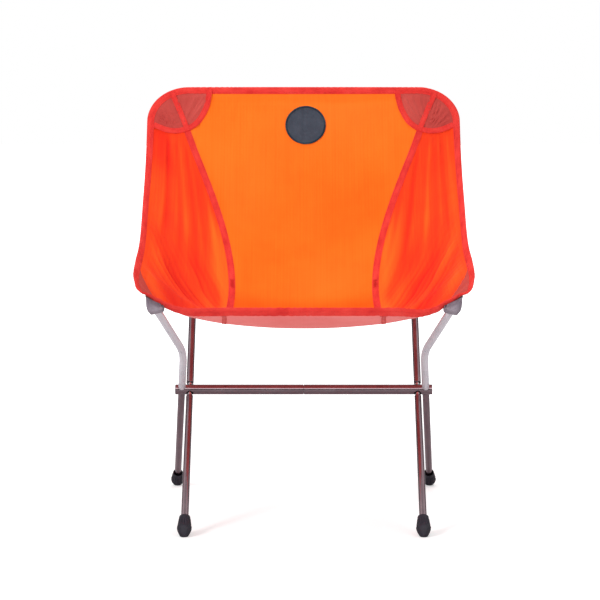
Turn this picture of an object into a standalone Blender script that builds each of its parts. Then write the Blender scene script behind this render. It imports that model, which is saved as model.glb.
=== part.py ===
"""Ultralight pole-frame camp chair: crossbar, four legs, four arms and a sling seat.

Metres, +Z up, feet on z = 0. The front is -Y. Seen from the front, +X is to the right
(the sitter's left); "left" and "right" in the names are as seen from the front.
"""
import math
from collections import namedtuple

import bpy
import bmesh
from mathutils import Matrix, Vector

SIDES = ((-1, "left"), (1, "right"))

# ---------------------------------------------------------------- frame dimensions
BAR_Y = -0.00638              # crossbar axis along Y; frame and sling are placed from it
BAR_Z = 0.1893                # crossbar axis height
BAR_HALF = 0.2001             # half length of the crossbar
BAR_R, BAR_BORE = 0.0080, 0.0068
INSERT_R = 0.0063             # ferrule and plugs inside the crossbar
FERRULE_HALF, FERRULE_BORE = 0.038, 0.0050
PLUG_LEN, PLUG_INSET = 0.0035, 0.0002
BAR_CORD_HALF = 0.150
GAP = 0.0003                  # between two tubes that meet end to end

INNER_X, OUTER_X = 0.1774, 0.1900     # sockets along the crossbar
CUTTER_HALF = 0.020           # half length of the cylinders that cut the socket holes
LEG_R, LEG_BORE = 0.0055, 0.0043
ARM_R, ARM_BORE = 0.0050, 0.0042
PIN_R, PIN_BORE = 0.0038, 0.0020      # spigots and back arm ferrules
CORD_R = 0.0012
NECK = 0.0042                 # bare spigot between the bar and the inner tubes
INNER_START = BAR_R + NECK    # where the inner tubes start, from the bar's axis
OUTER_START = 0.0030          # where the outer tubes start, from the bar's axis
SPIGOT_IN = 0.030             # spigot length past the neck or the bar

# distances back from the floor end of a leg's line
LEG_SHORT = 0.0175            # to the lower end of the leg tube
FOOT_RISE = 0.034             # to the upper rim of the rubber foot
# distances back from the tip of an arm's line
ARM_SHORT = 0.006             # to the end of the arm tube
CORD_SHORT = 0.034            # to the end of the cord
BACK_SPLIT = 0.200            # to the joint of the two back arm tubes
CORD_IN_LEG = 0.006           # how far up the leg tube the cord starts
BACK_FERRULE_HALF = 0.024

# x, y from the crossbar, z; x is mirrored for the left side
FRONT_FOOT = (0.1758, -0.1818, 0)
REAR_FOOT = (0.2110, 0.1828, 0)
SEAT_BEND, SEAT_TIP = (0.1825, -0.0651, 0.2567), (0.2128, -0.2045, 0.3405)
BACK_BEND, BACK_TIP = (0.1790, 0.1220, 0.3163), (0.2170, 0.2175, 0.6030)
SEAT_BEND_R, BACK_BEND_R = 0.130, 0.16

# The inner socket holds the front leg and back arm, the outer one the rear leg and seat arm.
# hole: radius through the crossbar; start: top of the leg tube, from the bar's axis
Leg = namedtuple("Leg", "name socket_x foot hole start spigot_half")
FRONT_LEG = Leg("front", INNER_X, FRONT_FOOT, 0.0054, INNER_START, INNER_START + SPIGOT_IN)
REAR_LEG = Leg("rear", OUTER_X, REAR_FOOT, 0.0059, OUTER_START, BAR_R + SPIGOT_IN)

# (radius, distance down the leg from the foot's rim): bore, rim, then the outside
FOOT_PROFILE = [
    (0.0059, 0.0186), (0.0059, 0), (0.0076, 0), (0.0082, 0.0012), (0.0088, 0.008),
    (0.0099, 0.0155), (0.0107, 0.0195), (0.0107, 0.0215), (0.0094, 0.0250),
    (0.0070, 0.0300), (0.0046, 0.0345), (0.0034, 0.0375),
]
# (radius, distance past the arm tip): stem inside the tube, then the head
CAP_PROFILE = [
    (0.0039, -0.020), (0.0039, -0.0057), (0.0054, -0.0057),
    (0.0056, -0.002), (0.0050, 0.0015), (0.0030, 0.0030),
]

# facets around each kind of round piece
TUBE_SEGS = 16
BAR_SEGS = 24
INSERT_SEGS = 20              # also the socket hole cutters
PIN_SEGS = 12                 # also the arm caps
CORD_SEGS = 8
BADGE_SEGS = 24
BEND_POINTS = 7               # points along each filleted bend

for old in list(bpy.data.objects):
    bpy.data.objects.remove(old, do_unlink=True)


# ---------------------------------------------------------------- materials
def linear(channel):
    """Linear value of a 0-255 sRGB channel."""
    c = channel / 255
    return c / 12.92 if c <= 0.04045 else ((c + 0.055) / 1.055) ** 2.4


def material(name, srgb, roughness, metallic=0.0):
    mat = bpy.data.materials.new(name)
    mat.use_nodes = True
    inputs = mat.node_tree.nodes["Principled BSDF"].inputs
    inputs["Base Color"].default_value = (*map(linear, srgb), 1)
    inputs["Roughness"].default_value = roughness
    inputs["Metallic"].default_value = metallic
    return mat


BRONZE = material("bronze_tube", srgb=(96, 66, 70), roughness=0.28, metallic=0.9)
SILVER = material("silver_tube", srgb=(194, 187, 195), roughness=0.35, metallic=0.9)
ALLOY = material("bare_alloy", srgb=(200, 200, 205), roughness=0.3, metallic=1.0)
RUBBER = material("foot_rubber", srgb=(60, 56, 66), roughness=0.7)
PLASTIC = material("black_plastic", srgb=(40, 38, 42), roughness=0.5)
CORD = material("cord", srgb=(60, 58, 62), roughness=0.8)
ORANGE = material("panel_fabric", srgb=(255, 115, 32), roughness=0.75)
RED = material("wing_fabric", srgb=(250, 75, 28), roughness=0.75)
TAPE = material("edge_tape", srgb=(243, 68, 57), roughness=0.8)
PATCH = material("corner_fabric", srgb=(202, 75, 68), roughness=0.8)
WEBBING = material("webbing", srgb=(150, 140, 150), roughness=0.85)
BADGE = material("badge", srgb=(38, 58, 76), roughness=0.8)


# ---------------------------------------------------------------- solids
def finish(bm, name, mat, smooth=True, origin=None):
    """Turn the bmesh into an object, with its origin moved to a point if one is given."""
    bmesh.ops.remove_doubles(bm, verts=bm.verts, dist=0.000001)
    bmesh.ops.recalc_face_normals(bm, faces=bm.faces)
    if origin is not None:
        bmesh.ops.translate(bm, verts=bm.verts, vec=-Vector(origin))
    mesh = bpy.data.meshes.new(name)
    bm.to_mesh(mesh)
    bm.free()
    mesh.materials.append(mat)
    for polygon in mesh.polygons:
        polygon.use_smooth = smooth
    ob = bpy.data.objects.new(name, mesh)
    bpy.context.scene.collection.objects.link(ob)
    if origin is not None:
        ob.location = origin
    return ob


def path_frames(path):
    """(point, normal, binormal) at each path point, carried along without twisting."""
    tangents = []
    for i, point in enumerate(path):
        tangent = Vector((0, 0, 0))
        if i > 0:
            tangent += (point - path[i - 1]).normalized()
        if i < len(path) - 1:
            tangent += (path[i + 1] - point).normalized()
        tangents.append(tangent.normalized())
    up = Vector((1, 0, 0))
    if abs(tangents[0].dot(up)) > 0.9:
        up = Vector((0, 0, 1))
    frames = []
    for point, tangent in zip(path, tangents):
        up = (up - tangent * up.dot(tangent)).normalized()
        frames.append((point, up, tangent.cross(up).normalized()))
    return frames


def circle(bm, frame, radius, segs):
    centre, normal, binormal = frame
    angles = (2 * math.pi * k / segs for k in range(segs))
    return [bm.verts.new(centre + (normal * math.cos(a) + binormal * math.sin(a)) * radius)
            for a in angles]


def join(bm, ring, other):
    n = len(ring)
    for k in range(n):
        bm.faces.new((ring[k], ring[(k + 1) % n], other[(k + 1) % n], other[k]))


def skin(bm, rings):
    for ring, following in zip(rings, rings[1:]):
        join(bm, ring, following)


def tube(name, path, radius, mat, bore=0, segs=TUBE_SEGS, origin=None):
    """Round tube along a path of Vectors, or a solid rod where there is no bore."""
    bm = bmesh.new()
    frames = path_frames(path)
    outer = [circle(bm, frame, radius, segs) for frame in frames]
    skin(bm, outer)
    if bore:
        inner = [circle(bm, frame, bore, segs) for frame in frames]
        skin(bm, inner)
        join(bm, outer[0], inner[0])
        join(bm, outer[-1], inner[-1])
    else:
        bm.faces.new(outer[0])
        bm.faces.new(outer[-1])
    return finish(bm, name, mat, origin=origin)


def lathe(name, start, axis, profile, mat, segs=TUBE_SEGS, floor=False):
    """Turned solid from (radius, distance along axis); floor trims it flat at z = 0."""
    bm = bmesh.new()
    normal = (Vector((1, 0, 0)) - axis * axis.x).normalized()
    binormal = axis.cross(normal).normalized()
    rings = [circle(bm, (start + axis * distance, normal, binormal), radius, segs)
             for radius, distance in profile]
    skin(bm, rings)
    bm.faces.new(rings[0])
    bm.faces.new(rings[-1])
    if floor:
        geom = bm.verts[:] + bm.edges[:] + bm.faces[:]
        bmesh.ops.bisect_plane(bm, geom=geom, plane_co=(0, 0, 0), plane_no=(0, 0, -1),
                               clear_outer=True)
        edges = [e for e in bm.edges if e.is_boundary]
        bmesh.ops.contextual_create(bm, geom=edges)
    return finish(bm, name, mat)


# ---------------------------------------------------------------- paths
def fillet(start, corner, end, radius):
    """Path from start to end with its corner rounded by an arc."""
    to_start, to_end = (start - corner).normalized(), (end - corner).normalized()
    half_angle = to_start.angle(to_end) / 2
    setback = radius / math.tan(half_angle)
    bisector = (to_start + to_end).normalized()
    centre = corner + bisector * (radius / math.sin(half_angle))
    first = corner + to_start * setback - centre
    last = corner + to_end * setback - centre
    sweep = first.angle(last)
    axis = first.cross(last).normalized()
    arc = [centre + Matrix.Rotation(sweep * i / (BEND_POINTS - 1), 3, axis) @ first
           for i in range(BEND_POINTS)]
    return [start] + arc + [end]


def along(path, start, end):
    """The part of a path between two distances from its start."""
    found = []

    def add(distance, point):
        if not any((point - other).length < 1e-7 for _, other in found):
            found.append((distance, point))

    walked = 0.0
    for a, b in zip(path, path[1:]):
        step = (b - a).length
        for distance in (start, end):
            if walked <= distance <= walked + step + 1e-12 and step > 0:
                add(distance, a.lerp(b, (distance - walked) / step))
        if start < walked + step < end:
            add(walked + step, b.copy())
        walked += step
    return [point for _, point in sorted(found, key=lambda entry: entry[0])]


def path_length(path):
    return sum((b - a).length for a, b in zip(path, path[1:]))


def bar_point(x):
    return Vector((x, BAR_Y, BAR_Z))


def frame_point(side, spot):
    x, y, z = spot
    return Vector((side * x, BAR_Y + y, z))


def leg_line(leg, side):
    """Socket centre, direction down the leg and distance to the floor."""
    hub = bar_point(side * leg.socket_x)
    line = frame_point(side, leg.foot) - hub
    return hub, line.normalized(), line.length


# ---------------------------------------------------------------- crossbar
def cut_socket(bar, leg, side, word):
    hub, down, _ = leg_line(leg, side)
    cutter = tube("cut_" + word + str(leg.socket_x),
                  [hub - down * CUTTER_HALF, hub + down * CUTTER_HALF],
                  leg.hole, ALLOY, segs=INSERT_SEGS)
    cutter.hide_render = True
    cutter.display_type = 'WIRE'
    modifier = bar.modifiers.new("cut", 'BOOLEAN')
    modifier.operation = 'DIFFERENCE'
    modifier.solver = 'EXACT'
    modifier.object = cutter


def build_bar_half(side, word):
    inner_end = bar_point(side * GAP / 2)
    bar = tube("crossbar_" + word, [inner_end, bar_point(side * BAR_HALF)], BAR_R, BRONZE,
               bore=BAR_BORE, segs=BAR_SEGS, origin=inner_end)
    for leg in (FRONT_LEG, REAR_LEG):
        cut_socket(bar, leg, side, word)
    plug_end = BAR_HALF - PLUG_INSET
    tube("crossbar_plug_" + word,
         [bar_point(side * (plug_end - PLUG_LEN)), bar_point(side * plug_end)],
         INSERT_R, PLASTIC, segs=INSERT_SEGS)


def cord(name, path):
    tube(name, path, CORD_R, CORD, segs=CORD_SEGS)


def build_bar_core():
    """Ferrule and cord inside the crossbar."""
    tube("crossbar_ferrule", [bar_point(-FERRULE_HALF), bar_point(FERRULE_HALF)], INSERT_R,
         ALLOY, bore=FERRULE_BORE, segs=INSERT_SEGS, origin=bar_point(0))
    cord("crossbar_cord", [bar_point(-BAR_CORD_HALF), bar_point(BAR_CORD_HALF)])


# ---------------------------------------------------------------- legs and arms
def build_leg(leg, side, word):
    """Spigot, leg tube and foot; returns the lower end of the cord."""
    hub, down, reach = leg_line(leg, side)
    spigot = [hub + down * leg.spigot_half, hub - down * leg.spigot_half]
    tube(f"{leg.name}_spigot_{word}", spigot, PIN_R, ALLOY, bore=PIN_BORE, segs=PIN_SEGS,
         origin=hub)
    top = hub + down * leg.start
    leg_end = reach - LEG_SHORT
    tube(f"{leg.name}_leg_{word}", [top, hub + down * leg_end], LEG_R, BRONZE,
         bore=LEG_BORE, origin=top)
    lathe(f"{leg.name}_foot_{word}", hub + down * (reach - FOOT_RISE), down, FOOT_PROFILE,
          RUBBER, floor=True)
    return hub + down * (leg_end - CORD_IN_LEG)


def arm_cap(name, path):
    tip_direction = (path[-1] - path[-2]).normalized()
    lathe(name, path[-1], tip_direction, CAP_PROFILE, PLASTIC, segs=PIN_SEGS)


def build_back_arm(side, word, cord_start):
    path = fillet(bar_point(side * INNER_X), frame_point(side, BACK_BEND),
                  frame_point(side, BACK_TIP), BACK_BEND_R)
    total = path_length(path)
    split = total - BACK_SPLIT
    tube("back_arm_lower_" + word, along(path, INNER_START, split - GAP / 2), ARM_R, BRONZE,
         bore=ARM_BORE)
    tube("back_arm_ferrule_" + word,
         along(path, split - BACK_FERRULE_HALF, split + BACK_FERRULE_HALF),
         PIN_R, ALLOY, bore=PIN_BORE, segs=PIN_SEGS)
    tube("back_arm_upper_" + word, along(path, split + GAP / 2, total - ARM_SHORT), ARM_R,
         BRONZE, bore=ARM_BORE, origin=along(path, split, total)[0])
    arm_cap("back_arm_cap_" + word, path)
    cord("front_cord_" + word, [cord_start] + along(path, 0, total - CORD_SHORT))


def build_seat_arm(side, word, cord_start):
    hub = bar_point(side * OUTER_X)
    path = fillet(hub, frame_point(side, SEAT_BEND), frame_point(side, SEAT_TIP), SEAT_BEND_R)
    total = path_length(path)
    tube("seat_arm_" + word, along(path, OUTER_START, total - ARM_SHORT), ARM_R, SILVER,
         bore=ARM_BORE, origin=hub)
    arm_cap("seat_arm_cap_" + word, path)
    cord("rear_cord_" + word, [cord_start] + along(path, 0, total - CORD_SHORT))


# ---------------------------------------------------------------- sling surface
# s runs from the top edge (0) to the front edge (1), t across from -X (-1) to +X (1).
# Bezier controls from top to front: (y from the crossbar, z)
CENTRE = ((0.222, 0.658), (0.15, 0.463), (0.06, 0.243), (-0.06, 0.258), (-0.2, 0.332))
EDGE = ((0.228, 0.658), (0.19, 0.523), (0.06, 0.403), (-0.10, 0.388), (-0.228, 0.372))
# Bezier controls of the seam between panel and wing, as shares of the half width
SEAM = (0.804, 0.831, -0.063, 0.735, 0.396, 0.490)
HALF_WIDTH = 0.2580
TAPER = 0.004                 # half width lost evenly from top to front
FRONT_TUCK, TUCK_POWER = 0.018, 8     # half width lost close to the front edge
NOMINAL_LEN = 0.66            # distance down the fabric for s = 1, used at the top corners
TOP_CORNER_R = 0.064
# power of |t| that blends centre into edge: it rises over the range of s
HOLLOW_POWER, HOLLOW_RISE, HOLLOW_RANGE = 2.6, 4.4, (0.75, 1)
# raised band near the front: height, and where along s it rises and falls
BAND_HEIGHT, BAND_UP, BAND_DOWN = 0.0080, (0.62, 0.78), (0.93, 1)
NORMAL_STEP = 0.002           # step in s and t for the surface normal


def ease(start, end, x):
    """Smooth step from 0 at start to 1 at end."""
    x = min(1.0, max(0.0, (x - start) / (end - start)))
    return x * x * (3 - 2 * x)


def bezier(controls, u):
    n = len(controls) - 1
    return sum(math.comb(n, i) * (1 - u) ** (n - i) * u ** i * value
               for i, value in enumerate(controls))


def bezier_yz(controls, u):
    return [bezier(column, u) for column in zip(*controls)]


def sling(s, t):
    """Point on the middle surface of the seat fabric."""
    centre_y, centre_z = bezier_yz(CENTRE, s)
    edge_y, edge_z = bezier_yz(EDGE, s)
    half = HALF_WIDTH - TAPER * s - FRONT_TUCK * s ** TUCK_POWER
    down = s * NOMINAL_LEN
    if down < TOP_CORNER_R:
        half += math.sqrt(TOP_CORNER_R ** 2 - (TOP_CORNER_R - down) ** 2) - TOP_CORNER_R
    blend = abs(t) ** (HOLLOW_POWER + HOLLOW_RISE * ease(*HOLLOW_RANGE, s))
    band = BAND_HEIGHT * ease(*BAND_UP, s) * (1 - ease(*BAND_DOWN, s))
    return Vector((half * t,
                   BAR_Y + centre_y + (edge_y - centre_y) * blend,
                   centre_z + (edge_z - centre_z) * blend + band))


def sling_normal(s, t):
    """Unit normal pointing back and down, away from the sitter."""
    s0, s1 = max(s - NORMAL_STEP, 0), min(s + NORMAL_STEP, 1)
    t0, t1 = max(t - NORMAL_STEP, -1), min(t + NORMAL_STEP, 1)
    return (sling(s, t1) - sling(s, t0)).cross(sling(s1, t) - sling(s0, t)).normalized()


def seam(s):
    return bezier(SEAM, s)


def flat(s, v):
    return 0.0


def sheet(name, rows, span, columns, thickness, mat, lift=flat):
    """Closed thin solid lying on the sling.

    rows: values of s; span(s): the two limits of t; lift(s, v): offset along the normal,
    with v from 0 to 1 across the span.
    """
    bm = bmesh.new()
    top, bottom = [], []
    for s in rows:
        t0, t1 = span(s)
        top_row, bottom_row = [], []
        for j in range(columns + 1):
            v = j / columns
            t = t0 + (t1 - t0) * v
            point, normal = sling(s, t), sling_normal(s, t)
            offset = lift(s, v)
            top_row.append(bm.verts.new(point + normal * (offset - thickness / 2)))
            bottom_row.append(bm.verts.new(point + normal * (offset + thickness / 2)))
        top.append(top_row)
        bottom.append(bottom_row)
    last = len(rows) - 1
    for grid in (top, bottom):
        for i in range(last):
            for j in range(columns):
                bm.faces.new((grid[i][j], grid[i][j + 1], grid[i + 1][j + 1], grid[i + 1][j]))
    for i in range(last):
        for j in (0, columns):
            bm.faces.new((top[i][j], top[i + 1][j], bottom[i + 1][j], bottom[i][j]))
    for i in (0, last):
        for j in range(columns):
            bm.faces.new((top[i][j], top[i][j + 1], bottom[i][j + 1], bottom[i][j]))
    return finish(bm, name, mat)


def steps(start, end, n):
    return [start + (end - start) * i / n for i in range(n + 1)]


# ---------------------------------------------------------------- sling pieces
# thicknesses
FABRIC_T, BINDING_T, SEAM_TAPE_T = 0.0014, 0.0024, 0.0008
POCKET_T, PATCH_T = 0.0012, 0.0010
# inner limits of the bindings, in s and t, and the gaps left beside bindings and seams
TOP_BINDING, FRONT_BINDING, SIDE_BINDING = 0.019, 0.9795, 0.957
GAP_S, GAP_T = 0.0035, 0.0030
PANEL_ROWS = [TOP_BINDING + GAP_S, 0.045, 0.075, *steps(0.115, 0.88, 10),
              0.93, FRONT_BINDING - GAP_S]
SEAM_TAPE_ROWS = PANEL_ROWS[3:]
SEAM_TAPE_HALF = 0.021        # half width in t
# offsets along the normal; negative is the sitter's side
SEAM_TAPE_LIFT, PATCH_LIFT = -0.0042, -0.0040
POCKET_LIFT, POCKET_BULGE = 0.0036, 0.0215
POCKET_ROUNDNESS = 0.55       # power of the sine across the pocket
POCKET_RISE = (0.012, 0.032)  # s over which the pocket swells out
POCKET_ROWS = [0.022, 0.028, 0.036, 0.055, 0.075, 0.100, 0.130]
POCKET_SPAN, PATCH_SPAN = (0.62, 0.95), (0.66, 0.95)    # in |t|
BADGE_S, BADGE_R = 0.075, 0.0330
BADGE_LIFT, BADGE_T = 0.0028, 0.0008


def build_middle():
    sheet("back_and_seat_panel", PANEL_ROWS, lambda s: (-seam(s) + GAP_T, seam(s) - GAP_T),
          6, FABRIC_T, ORANGE)
    sheet("top_binding", [0, TOP_BINDING], lambda s: (-1, 1), 10, BINDING_T, TAPE)
    sheet("front_binding", [FRONT_BINDING, 1], lambda s: (-1, 1), 28, BINDING_T, TAPE)


def build_wing(side, word):
    """Side panel with the binding along its edge and the tape over its seam."""
    sheet("wing_" + word, PANEL_ROWS,
          lambda s: (side * seam(s) + side * GAP_T, side * (SIDE_BINDING - GAP_T)),
          4, FABRIC_T, RED)
    sheet("side_binding_" + word, PANEL_ROWS, lambda s: (side * SIDE_BINDING, side * 1.0),
          1, BINDING_T, TAPE)
    sheet("seam_tape_" + word, SEAM_TAPE_ROWS,
          lambda s: (side * seam(s) - SEAM_TAPE_HALF, side * seam(s) + SEAM_TAPE_HALF),
          1, SEAM_TAPE_T, TAPE, lift=lambda s, v: SEAM_TAPE_LIFT)


def pocket_lift(s, v):
    across = math.sin(math.pi * v) ** POCKET_ROUNDNESS if 0 < v < 1 else 0.0
    return POCKET_LIFT + POCKET_BULGE * across * ease(*POCKET_RISE, s)


def build_corners(side, word):
    """Pouch behind the top corner, open at its lower edge, and patch on the front corner."""
    pocket_span = sorted(side * t for t in POCKET_SPAN)
    sheet("back_corner_pocket_" + word, POCKET_ROWS, lambda s: pocket_span, 6, POCKET_T,
          PATCH, lift=pocket_lift)
    patch_span = sorted(side * t for t in PATCH_SPAN)
    sheet("front_corner_patch_" + word, steps(0.930, 0.976, 2), lambda s: patch_span, 4,
          PATCH_T, PATCH, lift=lambda s, v: PATCH_LIFT)


def build_badge():
    """Round badge on the sitter's side, near the top of the back."""
    bm = bmesh.new()
    normal = sling_normal(BADGE_S, 0)
    across = Vector((1, 0, 0))
    down = normal.cross(across).normalized()
    base = sling(BADGE_S, 0) - normal * BADGE_LIFT
    low = circle(bm, (base, across, down), BADGE_R, BADGE_SEGS)
    high = [bm.verts.new(vert.co - normal * BADGE_T) for vert in low]
    bm.faces.new(low)
    bm.faces.new(high)
    join(bm, low, high)
    finish(bm, "badge_patch", BADGE, smooth=False)


# ---------------------------------------------------------------- webbing cups
CUP_HALF, CUP_WALL = 0.0100, 0.0016
CUP_BEHIND, CUP_AHEAD = 0.011, 0.0110     # reach behind and ahead of the arm tip
CUP_LEVELS = (-0.0120, -0.0015)           # lower and upper rims, from the arm tip
CUP_INSIDE = CUP_HALF - CUP_WALL
# half of each U outline: (ahead of the tip, across)
CUP_OUTER = [(-CUP_BEHIND, CUP_HALF), (CUP_AHEAD - 0.005, CUP_HALF),
             (CUP_AHEAD - 0.0015, CUP_HALF - 0.0015), (CUP_AHEAD, CUP_HALF - 0.005)]
CUP_INNER = [(-CUP_BEHIND, CUP_INSIDE), (CUP_AHEAD - 0.005, CUP_INSIDE),
             (CUP_AHEAD - 0.0015 - CUP_WALL, CUP_INSIDE - 0.0012),
             (CUP_AHEAD - CUP_WALL, CUP_INSIDE - 0.004)]


def build_cup(side, word):
    """U-shaped webbing wall in front of and beside the seat arm tip."""
    tip = frame_point(side, SEAT_TIP)
    run = tip - frame_point(side, SEAT_BEND)
    ahead = Vector((run.x, run.y, 0)).normalized()
    across = Vector((-ahead.y, ahead.x, 0))
    bm = bmesh.new()

    def outline(half, z):
        points = half + [(a, -b) for a, b in reversed(half)]
        return [bm.verts.new(tip + ahead * a + across * b + Vector((0, 0, z)))
                for a, b in points]

    (out0, in0), (out1, in1) = [(outline(CUP_OUTER, z), outline(CUP_INNER, z))
                                for z in CUP_LEVELS]
    last = len(out0) - 1
    for k in range(last):
        bm.faces.new((out0[k], out0[k + 1], out1[k + 1], out1[k]))
        bm.faces.new((in0[k], in1[k], in1[k + 1], in0[k + 1]))
        bm.faces.new((out0[k], in0[k], in0[k + 1], out0[k + 1]))
        bm.faces.new((out1[k], out1[k + 1], in1[k + 1], in1[k]))
    for k in (0, last):
        bm.faces.new((out0[k], out1[k], in1[k], in0[k]))
    finish(bm, "webbing_cup_" + word, WEBBING, smooth=False)


# ---------------------------------------------------------------- build
build_bar_core()
build_middle()
build_badge()
for side, word in SIDES:
    build_bar_half(side, word)
    build_back_arm(side, word, build_leg(FRONT_LEG, side, word))
    build_seat_arm(side, word, build_leg(REAR_LEG, side, word))
    build_wing(side, word)
    build_corners(side, word)
    build_cup(side, word)
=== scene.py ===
# A low folding camp chair: a fabric sling hung on four bent arms, over four legs that
# meet in a crossbar. X runs across the chair, -Y is its front, Z is up from the floor.
# "left" pieces are on -X and "right" pieces on +X. Lengths are in metres.
import math
import bpy
import bmesh
import numpy as np
from mathutils import Matrix, Vector


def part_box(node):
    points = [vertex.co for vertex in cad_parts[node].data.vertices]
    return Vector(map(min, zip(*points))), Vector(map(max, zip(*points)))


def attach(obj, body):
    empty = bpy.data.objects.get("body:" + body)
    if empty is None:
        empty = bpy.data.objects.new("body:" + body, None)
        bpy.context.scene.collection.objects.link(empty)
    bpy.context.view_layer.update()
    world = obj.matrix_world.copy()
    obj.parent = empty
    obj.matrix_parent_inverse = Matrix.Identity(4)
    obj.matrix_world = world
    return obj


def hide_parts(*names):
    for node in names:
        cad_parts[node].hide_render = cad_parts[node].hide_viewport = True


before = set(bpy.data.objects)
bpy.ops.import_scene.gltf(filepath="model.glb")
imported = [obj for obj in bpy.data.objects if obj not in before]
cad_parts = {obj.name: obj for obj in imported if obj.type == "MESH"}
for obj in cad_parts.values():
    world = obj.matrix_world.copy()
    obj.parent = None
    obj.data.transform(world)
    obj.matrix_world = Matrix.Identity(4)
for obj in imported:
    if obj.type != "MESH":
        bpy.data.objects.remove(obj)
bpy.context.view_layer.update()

SIDES = ((-1, "left"), (1, "right"))

# ------------------------------------------------------------------ frame sizes
cord_low, cord_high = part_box("crossbar_cord")
BAR_Y = (cord_low.y + cord_high.y) / 2
BAR_Z = (cord_low.z + cord_high.z) / 2
BAR_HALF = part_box("crossbar_right")[1].x
BAR_GAP = 0.00015                  # each half of the bar stops this far from the middle
BAR_R, BAR_BORE = 0.0080, 0.0068
LEG_R, LEG_BORE = 0.0055, 0.0043
ARM_R, ARM_BORE = 0.0058, 0.0042
PIN_R, PIN_BORE = 0.0038, 0.0020
INNER_X, OUTER_X = 0.1774, 0.1900  # the two sockets in each half of the bar
INNER_HOLE, OUTER_HOLE = 0.0054, 0.0059
NECK = 0.0042                      # gap between the bar and the inner tubes
CLEAR = BAR_R + NECK
SPIGOT_IN = 0.030                  # length of pin inside a tube
SEAT_IN = 0.0030                   # start of the outer tubes from the bar's centre
LEG_SHORT, ARM_SHORT = 0.0175, 0.006   # tubes stop this far from their ends
FOOT_LEN = 0.038
# (x, y from the bar) of the feet, (x, y from the bar, z) of the arms
FRONT_FOOT = (0.1758, -0.1818)
REAR_FOOT = (0.2110, 0.1828)
SEAT_ARM = ((0.1825, -0.0651, 0.2567), (0.2128, -0.2045, 0.3405))
BACK_ARM = ((0.1790, 0.1220, 0.3163), (0.2170, 0.2175, 0.6030))
SEAT_BEND_R, BACK_BEND_R = 0.130, 0.16
BACK_UPPER_LEN = 0.200
JOINT_GAP = 0.00015                # half the gap between the two back arm tubes

# ------------------------------------------------------------------ sling sizes
SLING_LEN = 0.66                   # top edge to front edge, along the pattern
ROUND_R = 0.068                    # rounded top corners
# Bezier controls (y from the bar, z) from the top edge to the front edge
CENTRE = ((0.222, 0.658), (0.15, 0.463), (0.06, 0.243), (-0.06, 0.258), (-0.2, 0.332))
EDGE = ((0.228, 0.658), (0.19, 0.523), (0.06, 0.403), (-0.10, 0.388), (-0.228, 0.372))
SEAM = (0.804, 0.831, -0.063, 0.735, 0.396, 0.490)   # Bezier controls, share of half width
FRONT_R = 0.022                    # rounded front corners
FRONT_CUT = 0.085                  # share of half width they take up
CLOTH_THICK = 0.00045
CLOTH_INSET = 0.003                # cloth stops just inside the folded tape
WING_INSET = 0.012                 # the same at the sides, as a share of half width
TAPE_WIDTH, SIDE_TAPE_WIDTH = 0.0118, 0.0114
TAPE_RISE = 0.00095


# ------------------------------------------------------------------ node tools
def srgb(colour):
    """8-bit sRGB triple to a linear colour."""
    def channel(value):
        value /= 255
        return value / 12.92 if value <= 0.04045 else ((value + 0.055) / 1.055) ** 2.4
    return tuple(channel(value) for value in colour) + (1.0,)


class Nodes:
    """Short builders for a node tree; values may be numbers, colours or sockets."""

    def __init__(self, tree):
        self.tree = tree

    def node(self, kind, **settings):
        node = self.tree.nodes.new(kind)
        for name, value in settings.items():
            setattr(node, name, value)
        return node

    def feed(self, socket, value):
        if isinstance(value, bpy.types.NodeSocket):
            self.tree.links.new(value, socket)
        else:
            socket.default_value = value

    def math(self, operation, first, second=None):
        node = self.node("ShaderNodeMath", operation=operation)
        self.feed(node.inputs[0], first)
        if second is not None:
            self.feed(node.inputs[1], second)
        return node.outputs[0]

    def sine(self, coordinate, period):
        return self.math("SINE", self.math("MULTIPLY", coordinate, 2 * math.pi / period))

    def coords(self, output="Object"):
        return self.node("ShaderNodeTexCoord").outputs[output]

    def split(self, vector):
        node = self.node("ShaderNodeSeparateXYZ")
        self.feed(node.inputs[0], vector)
        return node.outputs

    def noise(self, vector, scale, detail=3.0, rough=0.5):
        node = self.node("ShaderNodeTexNoise")
        for name, value in (("Scale", scale), ("Detail", detail), ("Roughness", rough),
                            ("Vector", vector)):
            self.feed(node.inputs[name], value)
        return node.outputs[0]

    def stretched_noise(self, vector, stretch, detail, rough=0.6):
        node = self.node("ShaderNodeVectorMath", operation="MULTIPLY")
        self.feed(node.inputs[0], vector)
        self.feed(node.inputs[1], stretch)
        return self.noise(node.outputs[0], scale=1.0, detail=detail, rough=rough)

    def ramp(self, factor, stops):
        node = self.node("ShaderNodeValToRGB")
        elements = node.color_ramp.elements
        while len(elements) < len(stops):
            elements.new(0.5)
        for element, (position, colour) in zip(elements, stops):
            element.position = position
            element.color = colour
        self.feed(node.inputs[0], factor)
        return node.outputs[0]

    def mix(self, factor, first, second):
        node = self.node("ShaderNodeMix", data_type="RGBA")
        for index, value in ((0, factor), (6, first), (7, second)):
            self.feed(node.inputs[index], value)
        return node.outputs[2]

    def remap(self, value, source, target):
        """Map the source (low, high) onto the target (low, high)."""
        node = self.node("ShaderNodeMapRange")
        for socket, number in zip(node.inputs, (value, *source, *target)):
            self.feed(socket, number)
        return node.outputs[0]


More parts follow.
